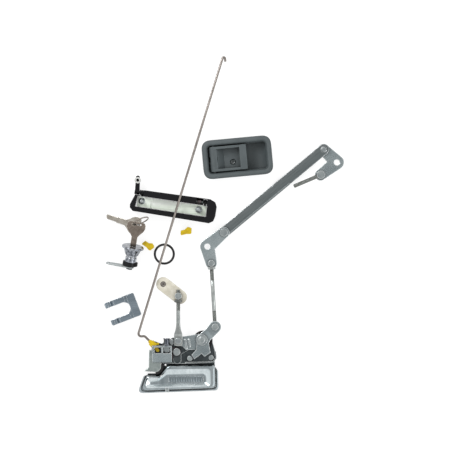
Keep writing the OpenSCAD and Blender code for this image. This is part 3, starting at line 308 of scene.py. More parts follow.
# The same rod plated: silvery, with long soft streaks.
ROD_ZINC = Finish(
    "zinc plated drawn rod", "#a6aaa8", "#949998", "#e6e9e8", metallic=1.0, roughness=0.22,
    cloud_mm=20.0, grain_mm=6.0, depth_mm=0.004, edge_mm=0.5, corner_shade_and_soil=0.6)
# Rolled thread: its valleys hold oil, so it reads darker than the plain rod.
THREADED = Finish(
    "rolled steel thread", "#757876", "#5e615d", "#c4c8c4", metallic=1.0, roughness=0.32,
    cloud_mm=4.0, grain_mm=0.6, depth_mm=0.01, edge_mm=0.4, corner_shade_and_soil=0.85)
# Oil blackened spring and case-hardened steel: near black with a dull sheen.
BLACKENED = Finish(
    "oil blackened steel", "#3d3f42", "#2c2e31", "#9a9ca0", metallic=1.0, roughness=0.3,
    cloud_mm=8.0, grain_mm=0.7, depth_mm=0.02, edge_mm=0.6)
# Spring wire, oiled and browned.
SPRING_WIRE = Finish(
    "oil tempered spring wire", "#4d4446", "#393235", "#a39a9a", metallic=1.0, roughness=0.28,
    cloud_mm=5.0, grain_mm=0.6, depth_mm=0.01, edge_mm=0.4)
# Polished roller: dark mirror with bright rims.
ROLLER = Finish(
    "black chrome plated roller", "#676b72", "#4f535a", "#e8eaf0", metallic=1.0, roughness=0.14,
    cloud_mm=6.0, grain_mm=0.6, depth_mm=0.006, edge_mm=0.6)
# Blue-grey spring sheet: pale steel with bright bends.
SPRING_SHEET = Finish(
    "cold rolled spring sheet", "#89959e", "#77838c", "#fafcfe", metallic=1.0, roughness=0.24,
    cloud_mm=16.0, grain_mm=0.8, depth_mm=0.01, edge_mm=1.0, grain=Grain.ALONG_X, corner_shade_and_soil=0.8)
# Polished chrome over a die casting: mirror bright, with dark patches painted into its colour as a reflection
# of a dim room.
CHROME = Finish(
    "chrome plated die casting", "#a9adb4", "#565a61", "#fbfcfd", metallic=1.0, roughness=0.08,
    cloud_mm=4.0, grain_mm=0.8, depth_mm=0.003, edge_mm=0.8, corner_shade_and_soil=0.95)
# Nickel plated brass, rubbed warm.
NICKEL = Finish(
    "nickel plated brass", "#82786f", "#6b625a", "#dcd3c9", metallic=1.0, roughness=0.28,
    cloud_mm=6.0, grain_mm=0.5, depth_mm=0.015, edge_mm=0.8, corner_shade_and_soil=0.8)
# A newer key, less rubbed and paler.
NICKEL_NEW = Finish(
    "bright nickel plated brass", "#8f8b84", "#7c776f", "#e6e1d9", metallic=1.0, roughness=0.28,
    cloud_mm=8.0, grain_mm=0.5, depth_mm=0.012, edge_mm=0.8, corner_shade_and_soil=0.8)
# Gloss black stove enamel over a casting.
BLACK_ENAMEL = Finish(
    "black enamelled casting", "#08080b", "#0c0c10", "#15161a", metallic=0.0, roughness=0.22,
    cloud_mm=14.0, grain_mm=1.0, depth_mm=0.01, edge_mm=0.8, gloss=0.22, corner_shade_and_soil=0.2)
# Slate grey ABS with a spark-eroded grain, dull and even.
SLATE = Finish(
    "moulded slate ABS", "#4d5456", "#454c4e", "#626b6d", metallic=0.0, roughness=0.5,
    cloud_mm=22.0, grain_mm=0.7, depth_mm=0.04, edge_mm=1.4, gloss=0.35, corner_shade_and_soil=0.75)
# Ivory acetal, a little mottled by handling.
IVORY = Finish(
    "moulded ivory acetal", "#ccc8bb", "#b8b3a3", "#e8e5dc", metallic=0.0, roughness=0.4,
    cloud_mm=7.0, grain_mm=1.2, depth_mm=0.03, edge_mm=0.8, corner_shade_and_soil=0.4)
# Yellow nylon clips: deep and glossy, shaded in their corners.
YELLOW = Finish(
    "moulded yellow nylon", "#c9ae02", "#b29500", "#dfcb30", metallic=0.0, roughness=0.36,
    cloud_mm=5.0, grain_mm=0.8, depth_mm=0.02, edge_mm=0.6, gloss=0.35, corner_shade_and_soil=0.6)
# Grey nylon bush: soft sheen, pale rim.
GREY_NYLON = Finish(
    "moulded grey nylon", "#b8b9b6", "#a3a4a1", "#d4d5d2", metallic=0.0, roughness=0.42,
    cloud_mm=6.0, grain_mm=0.8, depth_mm=0.02, edge_mm=0.6)
# Black rubber: matt, with a slightly paler moulding skin.
RUBBER = Finish(
    "moulded black rubber", "#121213", "#19191a", "#242426", metallic=0.0, roughness=0.55,
    cloud_mm=6.0, grain_mm=0.6, depth_mm=0.03, edge_mm=0.5, gloss=0.3, corner_shade_and_soil=0.2)
# Pale yellow-green chromate over zinc sheet, nearly white where it catches the light.
CHROMATE = Finish(
    "chromate passivated zinc sheet", "#ffffff", "#e6f1e1", "#ffffff", metallic=0.0, roughness=0.3,
    cloud_mm=20.0, grain_mm=1.0, depth_mm=0.006, edge_mm=0.8, grain=Grain.ALONG_X, corner_shade_and_soil=0.12)


# Points of a CAD mesh that are closer than this are joined.
WELD_MM = 0.002
# Faces that meet at less than this become one, and edges sharper than the next value are rounded.
FLAT_DEG = 0.4
EDGE_DEG = 32
# Steps across a rounded edge, and how strongly large faces keep their own shading.
EDGE_STEPS = 2
EVEN_WEIGHT = 80


def soften(obj: bpy.types.Object, width_mm: float) -> None:
    """Rounds the sharp edges of a CAD solid with modifiers.

    Args:
        obj: The node's object.
        width_mm: Width of the rounding.
    """
    weld = obj.modifiers.new("weld", "WELD")
    weld.merge_threshold = WELD_MM * MM
    flat = obj.modifiers.new("flat", "DECIMATE")
    flat.decimate_type = "DISSOLVE"
    flat.angle_limit = math.radians(FLAT_DEG)
    edge = obj.modifiers.new("edge", "BEVEL")
    edge.width = width_mm * MM
    edge.segments = EDGE_STEPS
    edge.limit_method = "ANGLE"
    edge.angle_limit = math.radians(EDGE_DEG)
    even = obj.modifiers.new("even", "WEIGHTED_NORMAL")
    even.weight = EVEN_WEIGHT


class Shell:
    """A mesh under construction, made of rings of points joined by skins.

    Attributes:
        points: Places of the points in millimetres.
        faces: Point numbers of each face.
        finishes: Number of each face's finish.
    """

    def __init__(self) -> None:
        """Starts an empty mesh."""
        self.points: list[Vector] = []
        self.faces: list[tuple[int, ...]] = []
        self.finishes: list[int] = []

    def ring(self, points: list[Vector]) -> list[int]:
        """Adds points to the mesh.

        Args:
            points: Places in millimetres.

        Returns:
            Their numbers.
        """
        start = len(self.points)
        self.points.extend(points)
        return list(range(start, len(self.points)))

    def bridge(self, low: list[int], high: list[int], finish: int = 0, closed: bool = True) -> None:
        """Joins two rows of equal length by four-sided faces.

        Args:
            low: Numbers of the first row.
            high: Numbers of the second row.
            finish: Number of the faces' finish.
            closed: True for rings, False for open rows.
        """
        count = len(low)
        for i in range(count if closed else count - 1):
            j = (i + 1) % count
            self.face((low[i], low[j], high[j], high[i]), finish)

    def face(self, corners: tuple[int, ...], finish: int = 0) -> None:
        """Adds one face."""
        self.faces.append(tuple(corners))
        self.finishes.append(finish)

    def skin(self, rings: list[list[Vector]], finishes: list[int] | None = None) -> None:
        """Joins rings one after another and closes both ends.

        Args:
            rings: Rings of equal length.
            finishes: Finish of each band between two rings, or None for the first finish.
        """
        rows = [self.ring(points) for points in rings]
        for i in range(len(rows) - 1):
            self.bridge(rows[i], rows[i + 1], finishes[i] if finishes else 0)
        self.face(tuple(reversed(rows[0])))
        self.face(tuple(rows[-1]))

    def piece(self, name: str, body: str, slot: str, finishes: list[Finish],
              sharp_deg: float = 50.0) -> bpy.types.Object:
        """Turns the mesh into a piece of the scene that rides on a body.

        Args:
            name: Name of the piece.
            body: CAD body that carries it.
            slot: Slot of the record that it would take its finish from; not used.
            finishes: Its materials.
            sharp_deg: Angle from which an edge shows.

        Returns:
            The new object.
        """
        mesh = bpy.data.meshes.new(name)
        mesh.from_pydata([point * MM for point in self.points], [], self.faces)
        mesh.polygons.foreach_set("material_index", self.finishes)
        solid = bmesh.new()
        solid.from_mesh(mesh)
        bmesh.ops.recalc_face_normals(solid, faces=solid.faces)
        solid.to_mesh(mesh)
        solid.free()
        mesh.shade_smooth()
        mesh.set_sharp_from_angle(angle=math.radians(sharp_deg))
        for finish in finishes:
            mesh.materials.append(finish.material())
        made = bpy.data.objects.new(name, mesh)
        bpy.context.scene.collection.objects.link(made)
        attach(made, body)
        LOG.info("built %s on %s", name, body)
        return made


def circle(sides: int) -> list[float]:
    """Angles of the points round a circle."""
    return [2 * math.pi * k / sides for k in range(sides)]


# Axes that lean less than this from upright take their first side from the Y axis.
UPRIGHT = 0.05


def across(axis: Vector) -> tuple[Vector, Vector]:
    """Finds two directions square to an axis and to each other.

    Args:
        axis: Unit direction of the axis.

    Returns:
        The two unit directions.
    """
    side = axis.cross(UP)
    if side.length < UPRIGHT:
        side = axis.cross(Vector((0.0, 1.0, 0.0)))
    side.normalize()
    return side, side.cross(axis).normalized()


def lathe(shell: Shell, origin: Vector, axis: Vector, profile: list[Flat],
          finishes: list[int] | None = None, sides: int = 28) -> None:
    """Turns a profile about an axis.

    Args:
        shell: Mesh that gets the faces.
        origin: Point on the axis at nought along it.
        axis: Unit direction of the axis.
        profile: Places along the axis and radii.
        finishes: Finish of each band.
        sides: Points round the axis.
    """
    side, up = across(axis)
    spokes = [side * math.cos(a) + up * math.sin(a) for a in circle(sides)]
    shell.skin([[origin + axis * along + spoke * radius for spoke in spokes] for along, radius in profile],
               finishes)


def tube(shell: Shell, path: list[Vector], radius: float, sides: int = 12) -> None:
    """Sweeps a round wire along a path without twist.

    Args:
        shell: Mesh that gets the faces.
        path: Points along the wire.
        radius: Radius of the wire.
        sides: Points round the wire.
    """
    rings = []
    side = across((path[1] - path[0]).normalized())[0]
    for i, here in enumerate(path):
        ahead = path[min(i + 1, len(path) - 1)] - path[max(i - 1, 0)]
        ahead.normalize()
        side = (side - ahead * side.dot(ahead)).normalized()
        up = ahead.cross(side)
        rings.append([here + (side * math.cos(a) + up * math.sin(a)) * radius for a in circle(sides)])
    shell.skin(rings)


def fillet(points: list[Vector], radii: list[float], steps: int = 10) -> list[Vector]:
    """Rounds the inner corners of an open path.

    Args:
        points: Corners of the path.
        radii: Radius at each inner corner.
        steps: Steps round each corner.

    Returns:
        Points along the rounded path.
    """
    path = [points[0]]
    for i in range(1, len(points) - 1):
        before = (points[i - 1] - points[i]).normalized()
        after = (points[i + 1] - points[i]).normalized()
        half = before.angle(after) / 2
        middle = points[i] + (before + after).normalized() * (radii[i - 1] / math.sin(half))
        first = points[i] + before * (radii[i - 1] / math.tan(half)) - middle
        last = points[i] + after * (radii[i - 1] / math.tan(half)) - middle
        sweep = math.pi - 2 * half
        for k in range(steps + 1):
            arm = first * math.sin(sweep * (1 - k / steps)) + last * math.sin(sweep * k / steps)
            path.append(middle + arm / math.sin(sweep))
    path.append(points[-1])
    return path


def coil_path(origin: Vector, axis: Vector, radius: float, height: float, turns: float,
              per_turn: int = 24) -> list[Vector]:
    """Points along a wound spring.

    Args:
        origin: Middle of the first turn.
        axis: Unit direction that the turns climb.
        radius: Mean radius of the coil.
        height: Climb over all turns.
        turns: Number of turns.
        per_turn: Points in each turn.

    Returns:
        Points along the wire.
    """
    side, up = across(axis)
    count = int(turns * per_turn)
    angles = [2 * math.pi * turns * i / count for i in range(count + 1)]
    return [origin + axis * (height * i / count) + (side * math.cos(a) + up * math.sin(a)) * radius
            for i, a in enumerate(angles)]


# Real M6 threads have a pitch of 1 mm; they are cut coarser here so that they show at this size.
THREAD_PITCH = 1.6
THREAD_DEPTH = 0.45
# Where the crest of each thread starts and ends, as shares of the pitch.
THREAD_CREST = (0.35, 0.65)


def thread(start: float, end: float, radius: float) -> list[Flat]:
    """Profile of a screw thread along a rod.

    Args:
        start: Where it begins along the axis.
        end: Where it ends.
        radius: Outer radius.

    Returns:
        Places along the axis and radii.
    """
    count = max(1, int(abs(end - start) / THREAD_PITCH))
    step = (end - start) / count
    profile = []
    for i in range(count):
        profile.append((start + i * step, radius - THREAD_DEPTH))
        profile.extend((start + (i + share) * step, radius) for share in THREAD_CREST)
    profile.append((end, radius - THREAD_DEPTH))
    return profile


def inset(outline: list[Flat], moves: list[float]) -> list[Flat]:
    """Moves each side of a clockwise outline inwards.

    Args:
        outline: Corners in order.
        moves: Distance for the side after each corner, inwards where positive.

    Returns:
        The new corners.
    """
    count = len(outline)
    lines = []
    for i, (ax, ay) in enumerate(outline):
        bx, by = outline[(i + 1) % count]
        length = math.hypot(bx - ax, by - ay)
        ux, uy = (bx - ax) / length, (by - ay) / length
        lines.append((ax + uy * moves[i], ay - ux * moves[i], ux, uy))
    corners = []
    for i in range(count):
        px, py, ux, uy = lines[i - 1]
        qx, qy, vx, vy = lines[i]
        reach = ((qx - px) * vy - (qy - py) * vx) / (ux * vy - uy * vx)
        corners.append((px + ux * reach, py + uy * reach))
    return corners


# Most of a side that the rounding of one corner may take.
SIDE_SHARE = 0.45


def round_off(outline: list[Flat], radii: list[float], steps: int = 6) -> list[Flat]:
    """Rounds every corner of a closed outline.

    Args:
        outline: Corners in order.
        radii: Radius at each corner.
        steps: Steps round each corner.

    Returns:
        Points round the outline, the same number at each corner.
    """
    count = len(outline)
    points: list[Flat] = []
    for i in range(count):
        here = Vector(outline[i])
        before, after = Vector(outline[i - 1]) - here, Vector(outline[(i + 1) % count]) - here
        half = before.angle(after) / 2
        reach = min(radii[i] / math.tan(half), *(SIDE_SHARE * side.length for side in (before, after)))
        first, last = here + before.normalized() * reach, here + after.normalized() * reach
        for k in range(steps + 1):
            t = k / steps
            place = first * (1 - t) ** 2 + here * (2 * t * (1 - t)) + last * t ** 2
            points.append((place.x, place.y))
    return points


@dataclass(frozen=True)
class ReturnSpring:
    """A spring wound round the pin of a handle.

    Attributes:
        start: Where it starts along the pin.
        length: Its length.
        radius: Its mean radius.
        wire: Radius of its wire.
        turns: Its turns.
    """

    start: float
    length: float
    radius: float
    wire: float
    turns: float

    def wind(self, pivot: Vector, axis: Vector) -> Shell:
        """Winds the spring.

        Args:
            pivot: Point on the pin at nought along it.
            axis: Unit direction of the pin.

        Returns:
            Mesh of the wire.
        """
        shell = Shell()
        path = coil_path(pivot + axis * self.start, axis, self.radius, self.length, self.turns)
        tube(shell, path, self.wire)
        return shell


@dataclass
class SubAssembly:
    """A group of pieces dressed together.

    Attributes:
        nodes: CAD objects by name.
        pivots: Place of each joint in millimetres.
        axes: Direction of each joint.
        finishes: Finish of each CAD node and the width of its rounded edges, nought for none.
    """

    nodes: dict[str, bpy.types.Object]
    pivots: dict[str, Vector]
    axes: dict[str, Vector]
    finishes: dict[str, tuple[Finish, float]] = field(default_factory=dict)

    def dress(self, name: str, finish: Finish, rounding_mm: float) -> None:
        """Gives a CAD node its finish and rounds its edges.

        Args:
            name: Node.
            finish: Its material.
            rounding_mm: Width of the rounded edges, nought for none.
        """
        obj = self.nodes[name]
        obj.data.materials.clear()
        obj.data.materials.append(finish.material())
        if rounding_mm > 0:
            soften(obj, rounding_mm)
        LOG.info("dressed %s in %s", name, finish.name)

    def box(self, name: str) -> tuple[Vector, Vector]:
        """Lowest and highest corner of a CAD node in millimetres."""
        low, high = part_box(name)
        return low / MM, high / MM

    def build(self) -> None:
        """Dresses the group's CAD nodes and builds its own pieces."""
        for name, (finish, rounding_mm) in self.finishes.items():
            self.dress(name, finish, rounding_mm)
        self.shape()

    def shape(self) -> None:
        """Builds the pieces that the scene shapes itself."""
        raise NotImplementedError


@dataclass
class Latch(SubAssembly):
    """Rotary latch with its cover, levers, claw and pawl.

    Attributes:
        cover_outline: Corners of the cover, measured from the release pivot.
        flanged: Which of its sides have a rolled flange.
        corner_radii: Radius at each of its corners.
        least_radius: Least radius of the corners of the inner rings.
        flange_steps: Rings over the flange: outward move of plain and flanged sides, height over the foot.
        shoulder_steps: Rings over the shoulder: the same moves, drop from the top.
        panel_steps: Rings of the sunken panel: share of the way to its floor, drop from the top.
        panel_less: How much smaller the panel's corner radii are.
        highlight_bands: How many bands of the panel the press tool rubbed bright.
        recess_outline: Corners of its sunken panel's upper edge, in the same order.
        floor_outline: Corners of the panel's floor, in the same order.
        reed_field: Lowest and highest corner of the reeded floor.
        reed_pitch: Distance from reed to reed.
        reed_height: Height of the reeds.
        reed_run_out: Length and drop of the reeds' run-out at their ends.
        reed_root: How far the reeded strip reaches into the floor.
        tab_sides: Left and right side of the folded tab.
        tab_chamfer: Width of the bands at its sides.
        spring_radius: Mean radius of the pawl's torsion spring.
        spring_wire: Radius of its wire.
        spring_turns: Turns of the pawl's and of the claw's spring.
        claw_spring_wires: Height of the claw's spring in radii of its wire.
    """

    cover_outline: list[Flat] = field(default_factory=lambda: [
        (-83, -54), (-63, -54), (-51, -38), (17, -38), (20, -42), (20.5, -73), (-91, -77)])
    flanged: list[int] = field(default_factory=lambda: [0, 0, 0, 0, 1, 1, 1])
    corner_radii: list[float] = field(default_factory=lambda: [5.0, 6.0, 8.0, 4.0, 4.0, 6.0, 6.0])
    least_radius: float = 1.5
    flange_steps: list[Point] = field(default_factory=lambda: [
        (0.0, 4.0, 0.0), (0.0, 4.0, 0.7), (0.0, 3.5, 1.8), (0.0, 2.5, 2.3), (0.0, 1.5, 1.8),
        (0.0, 0.9, 0.9), (0.0, 0.4, 1.0), (0.0, 0.0, 2.4)])
    shoulder_steps: list[Point] = field(default_factory=lambda: [
        (-0.3, -0.4, 3.2), (-0.8, -0.9, 1.4), (-1.8, -1.9, 0.4), (-3.2, -3.2, 0.0)])
    panel_steps: list[Flat] = field(default_factory=lambda: [
        (-0.12, 0.0), (0.0, 0.12), (0.12, 0.5), (0.88, 4.0), (1.0, 4.4), (1.12, 4.5)])
    panel_less: float = 1.0
    highlight_bands: int = 3
    recess_outline: list[Flat] = field(default_factory=lambda: [
        (-82.5, -58.5), (-65, -57.5), (-51.5, -45.2), (9, -44.4), (12, -47.5), (13, -69.6), (-85, -72.6)])
    floor_outline: list[Flat] = field(default_factory=lambda: [
        (-77.5, -64.4), (-66, -63.2), (-53, -53.6), (1, -52.0), (5.2, -55.0), (6.4, -65.2), (-76.5, -67.6)])
    reed_field: tuple[Flat, Flat] = ((-50.0, -64.5), (2.0, -55.0))
    reed_pitch: float = 3.6
    reed_height: float = 0.5
    reed_run_out: Flat = (1.5, 0.5)
    reed_root: float = 1.0
    tab_sides: Flat = (-54.8, -49.2)
    tab_chamfer: float = 0.5
    spring_radius: float = 5.7
    spring_wire: float = 0.75
    spring_turns: Flat = (2.25, 2.0)
    claw_spring_wires: int = 6
    finishes: dict[str, tuple[Finish, float]] = field(default_factory=lambda: {
        # The plates deep in the latch take the zinc that is painted darker as shade.
        "back_plate": (ZINC_SHADED, 0.6), "mechanism_plate": (ZINC_SHADED, 0.8),
        "spacer_posts": (ZINC_TURNED, 0.5), "release_pivot": (ZINC_TURNED, 0.6),
        "friction_disc": (RUBBER, 0.3), "window_bracket": (ZINC, 0.7), "spring_barrel": (ROLLER, 0.4),
        "claw_pin": (ZINC_TURNED, 0.3), "lock_pivot": (ZINC_TURNED, 0.3), "latch_claw": (ZINC_CLAW, 1.0),
        "claw_bumper": (RUBBER, 0.6), "pawl": (BLACKENED, 0.4), "pawl_shaft": (ZINC_TURNED, 0.6),
        "pawl_lever": (ZINC_SHADED, 0.5), "handle_lever": (ZINC, 0.9),
        "push_rod_rivet": (ZINC_TURNED, 0.7), "release_lever": (ZINC, 0.9),
    })

    def shape(self) -> None:
        """Builds the cover and the springs."""
        self._cover()
        self._pawl_spring()
        self._claw_spring()

    def _cover(self) -> None:
        """Presses the cover: rolled flange, upright wall, rounded shoulder and sunken panel with reeds."""
        low, high = self.box("latch_cover")
        foot, top = low.z, high.z
        at = self.pivots["handle_lever_turn"]

        def row(outline: list[Flat], grow: float, flange: float, z: float, less: float = 0.0) -> list[Vector]:
            """Rings the cover once.

            Args:
                outline: Corners of the ring before it is moved.
                grow: Outward move of the plain sides.
                flange: Outward move of the flanged sides.
                z: Height of the ring.
                less: How much smaller its corner radii are.

            Returns:
                Points of the ring.
            """
            moves = [-(flange if wide else grow) for wide in self.flanged]
            radii = [max(radius - less, self.least_radius) for radius in self.corner_radii]
            return [Vector((at.x + x, at.y + y, z)) for x, y in round_off(inset(outline, moves), radii)]

        rings = [row(self.cover_outline, grow, wide, foot + rise) for grow, wide, rise in self.flange_steps]
        rings += [row(self.cover_outline, grow, wide, top - drop) for grow, wide, drop in self.shoulder_steps]
        # The first bands down into the panel take the zinc that is painted bright as highlight.
        highlighted = range(len(rings), len(rings) + self.highlight_bands)
        for share, drop in self.panel_steps:
            edge = [(a + (c - a) * share, b + (d - b) * share)
                    for (a, b), (c, d) in zip(self.recess_outline, self.floor_outline)]
            rings.append(row(edge, 0.0, 0.0, top - drop, self.panel_less))
        shell = Shell()
        shell.skin(rings, [int(band in highlighted) for band in range(len(rings) - 1)])
        pan = shell.piece("pressed_cover", "latch_base", "zinc", [ZINC_PAN, ZINC_HIGHLIGHT], sharp_deg=60.0)
        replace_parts(pan, "latch_cover")
        self._reeds(at, top - self.panel_steps[-1][1])
        self._tab(at, foot, top)

    def _reeds(self, at: Vector, floor: float) -> None:
        """Lays the reeded strip on the floor of the sunken panel.

        Args:
            at: Place of the release pivot.
            floor: Height of the panel's floor.
        """
        (x0, y0), (x1, y1) = self.reed_field
        per_reed = 8
        count = int((x1 - x0) / self.reed_pitch) * per_reed
        shell = Shell()
        rows = []
        run, drop = self.reed_run_out
        for y, sink in ((y0, drop), (y0 + run, 0.0), (y1 - run, 0.0), (y1, drop)):
            line = []
            for i in range(count + 1):
                wave = 0.5 + 0.5 * math.cos(2 * math.pi * i / per_reed)
                line.append(Vector((at.x + x0 + (x1 - x0) * i / count, at.y + y,
                                    floor - sink + self.reed_height * wave)))
            rows.append(shell.ring(line))
        under = floor - self.reed_root
        base = [shell.ring([Vector((shell.points[i].x, shell.points[i].y, under)) for i in rows[k]])
                for k in (0, -1)]
        order = [base[0], *rows, base[1]]
        for low, high in zip(order, order[1:]):
            shell.bridge(low, high, closed=False)
        shell.bridge(base[1], base[0], closed=False)
        for end in (0, -1):
            shell.face(tuple(line[end] for line in order))
        shell.piece("cover_reeds", "latch_base", "zinc", [ZINC_REED], sharp_deg=70.0)

    def _tab(self, at: Vector, foot: float, top: float) -> None:
        """Folds the small bright tab over the cover's lower edge.

        Args:
            at: Place of the release pivot.
            foot: Height of the flange.
            top: Height of the cover.
        """
        left, right = self.tab_sides
        profile = [(-71.6, top - 0.2), (-71.6, top), (-74.6, top - 0.1), (-76.2, top - 1.4),
                   (-78.6, foot + 3.0), (-79.6, foot + 2.2), (-79.6, foot + 1.6), (-76.0, foot + 1.6),
                   (-74.0, top - 2.0)]
        shell = Shell()
        shell.skin([[Vector((at.x + x, at.y + y, z)) for y, z in profile]
                    for x in (left, left + self.tab_chamfer, right - self.tab_chamfer, right)])
        shell.piece("cover_tab", "latch_base", "zinc", [ZINC_TURNED])

    def _pawl_spring(self) -> None:
        """Winds the torsion spring round the pawl's shaft, with its two legs."""
        low, high = self.box("pawl_spring")
        at = self.pivots["pawl_turn"]
        start = Vector((at.x, at.y, low.z + self.spring_wire))
        climb = high.z - low.z - 2 * self.spring_wire
        path = coil_path(start, UP, self.spring_radius, climb, self.spring_turns[0])
        first_leg = [path[0] + Vector(step) for step in ((-1.5, -13.0, 0.0), (-0.4, -4.0, 0.0))]
        last_leg = [path[-1] + Vector(step) for step in ((-4.0, 0.4, 0.0), (-7.0, 1.2, 0.0))]
        shell = Shell()
        tube(shell, [*first_leg, *path, *last_leg], self.spring_wire)
        made = shell.piece("pawl_torsion_spring", "latch_base", "dark_steel", [SPRING_WIRE])
        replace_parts(made, "pawl_spring")

    def _claw_spring(self) -> None:
        """Winds the spring round the claw's pin."""
        low, high = self.box("claw_spring")
        wire = (high.z - low.z) / self.claw_spring_wires
        middle = Vector(((low.x + high.x) / 2, (low.y + high.y) / 2, low.z + wire))
        shell = Shell()
        radius, climb = (high.x - low.x) / 2 - wire, high.z - low.z - 2 * wire
        tube(shell, coil_path(middle, UP, radius, climb, self.spring_turns[1]), wire)
        made = shell.piece("claw_torsion_spring", "latch_base", "dark_steel", [SPRING_WIRE])
        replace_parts(made, "claw_spring")


@dataclass
class Linkage(SubAssembly):
    """Rods, cranks, bar and clips between the handles and the latch.

    Attributes:
        rod_radius: Radius of the threaded rods.
        lock_rod_radius: Radius of the long rod.
        lock_rod_route: Corners of the long rod in the layout.
        lock_rod_bends: Radius at each of its bends.
        hook_height: Height of the rod at its hook.
        stub_tip: End of the short rod in the layout.
        push_thread: Length of the push rod's thread.
        link_threads: Lengths of the link rod's threads.
        rod_past: How far the link rod runs past its pivots.
        stub_back: How far the short rod runs back past its pivot.
        spade_half: Half thickness of the push rod's flat end.
        chamfer: Length and depth of the chamfer at a rod's end.
        stub_chamfer: Depth of the chamfer at the short rod's near end.
        relief: Plain length between a thread and the shank.
    """

    rod_radius: float = 3.0
    lock_rod_radius: float = 1.8
    lock_rod_route: list[Flat] = field(default_factory=lambda: [
        (1.1, 242.1), (-0.5, 256.0), (-129.7, -167.1), (-119.0, -166.5)])
    lock_rod_bends: list[float] = field(default_factory=lambda: [1.9, 4.0, 4.0, 4.0])
    hook_height: float = 21.75
    stub_tip: Flat = (103.3, 56.7)
    push_thread: float = 31.0
    link_threads: Flat = (24.0, 26.0)
    rod_past: float = 3.0
    stub_back: float = 4.0
    spade_half: float = 1.25
    chamfer: float = 1.0
    stub_chamfer: float = 0.8
    relief: float = 0.5
    finishes: dict[str, tuple[Finish, float]] = field(default_factory=lambda: {
        "push_rod_nut": (THREADED, 0.4), "transfer_trunnion": (ZINC_TURNED, 0.6),
        "transfer_link": (IVORY, 0.6), "link_stud": (DRAWN, 0.4), "link_nut": (ROD_ZINC, 0.4),
        "link_trunnions": (ZINC_TURNED, 0.6), "bell_crank": (ZINC_NEW, 0.5), "flat_bar": (ZINC_BAR, 0.5),
        "bar_rivets": (ZINC_TURNED, 0.7), "end_crank": (ZINC, 0.5), "stub_trunnion": (ZINC_TURNED, 0.8),
        "lock_lever": (BLACKENED, 0.3), "latch_rod_clip": (YELLOW, 0.6), "loose_rod_clips": (YELLOW, 0.9),
    })

    def shape(self) -> None:
        """Builds the rods."""
        self._push_rod()
        self._link_rod()
        self._stub_rod()
        self._lock_rod()

    def _push_rod(self) -> None:
        """Forges the push rod: flat spade, stepped bend, neck drawn round, and threaded end."""
        low, high = self.box("push_rod")
        middle = Vector(((low.x + high.x) / 2, low.y, (low.z + high.z) / 2))
        half, flat = (high.x - low.x) / 2, self.spade_half
        r, tip = self.rod_radius, self.chamfer
        # Place along the rod, half width, half thickness, squareness and rise of each section.
        sections = [(0.0, half - 2.6, 0.9, 4, 0.0), (0.7, half - 1.2, flat, 6, 0.0),
                    (2.4, half, flat, 9, 0.0), (15.2, half, flat, 9, 0.0), (15.8, half, flat, 9, 0.15),
                    (17.0, half, flat, 9, 1.1), (17.6, half - 0.1, flat, 9, 1.2),
                    (19.0, half - 0.5, flat, 8, 1.15), (24.0, half - 2.0, 1.6, 5, 0.8),
                    (29.5, r + 0.3, 2.4, 3, 0.35), (34.5, r, r, 2, 0.0)]
        sides = 40
        rings, finishes = [], []
        for along, wide, thick, square, rise in sections:
            ring = []
            for angle in circle(sides):
                c, s = math.cos(angle), math.sin(angle)
                ring.append(middle + Vector((wide * math.copysign(abs(c) ** (2 / square), c), along,
                                             rise + thick * math.copysign(abs(s) ** (2 / square), s))))
            rings.append(ring)
            finishes.append(0)
        length = high.y - low.y
        start = length - self.push_thread
        profile = [(start, r), *thread(start, length - tip, r), (length, r - tip)]
        for i, (along, radius) in enumerate(profile):
            rings.append([middle + Vector((radius * math.cos(angle), along, radius * math.sin(angle)))
                          for angle in circle(sides)])
            finishes.append(1 if i else 0)
        shell = Shell()
        shell.skin(rings, finishes[1:])
        made = shell.piece("forged_push_rod", "push_rod", "rod_steel", [ROD_ZINC, THREADED], sharp_deg=60.0)
        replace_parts(made, "push_rod")

    def _link_rod(self) -> None:
        """Turns the link rod, threaded at both ends."""
        low, high = self.box("link_rod")
        first, last = self.pivots["link_rod_swing"].copy(), self.pivots["bell_crank_swing"].copy()
        first.z = last.z = (low.z + high.z) / 2
        axis = (last - first).normalized()
        length, past, r, tip = (last - first).length, self.rod_past, self.rod_radius, self.chamfer
        near, far = self.link_threads
        profile = [(-past, r - tip), *thread(-past + tip, near, r), (near + self.relief, r),
                   (length - far, r), *thread(length - far + self.relief, length + past - tip, r),
                   (length + past, r - tip)]
        finishes = [0 if near <= a < length - far else 1 for a, _ in profile[:-1]]
        shell = Shell()
        lathe(shell, first, axis, profile, finishes)
        made = shell.piece("threaded_link_rod", "link_rod", "rod_steel", [ROD_ZINC, THREADED], sharp_deg=60.0)
        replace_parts(made, "link_rod")

    def _stub_rod(self) -> None:
        """Turns the short rod, threaded all along."""
        low, high = self.box("stub_rod")
        start = self.pivots["stub_rod_swing"].copy()
        start.z = (low.z + high.z) / 2
        tip = Vector((*self.stub_tip, start.z))
        axis, reach = (tip - start).normalized(), (tip - start).length
        r, back, cut = self.rod_radius, self.stub_back, self.chamfer
        shell = Shell()
        lathe(shell, start, axis, [(-back, r - self.stub_chamfer), *thread(cut - back, reach - cut, r),
                                   (reach, r - cut)])
        made = shell.piece("threaded_stub_rod", "stub_rod", "rod_steel", [THREADED], sharp_deg=60.0)
        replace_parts(made, "stub_rod")

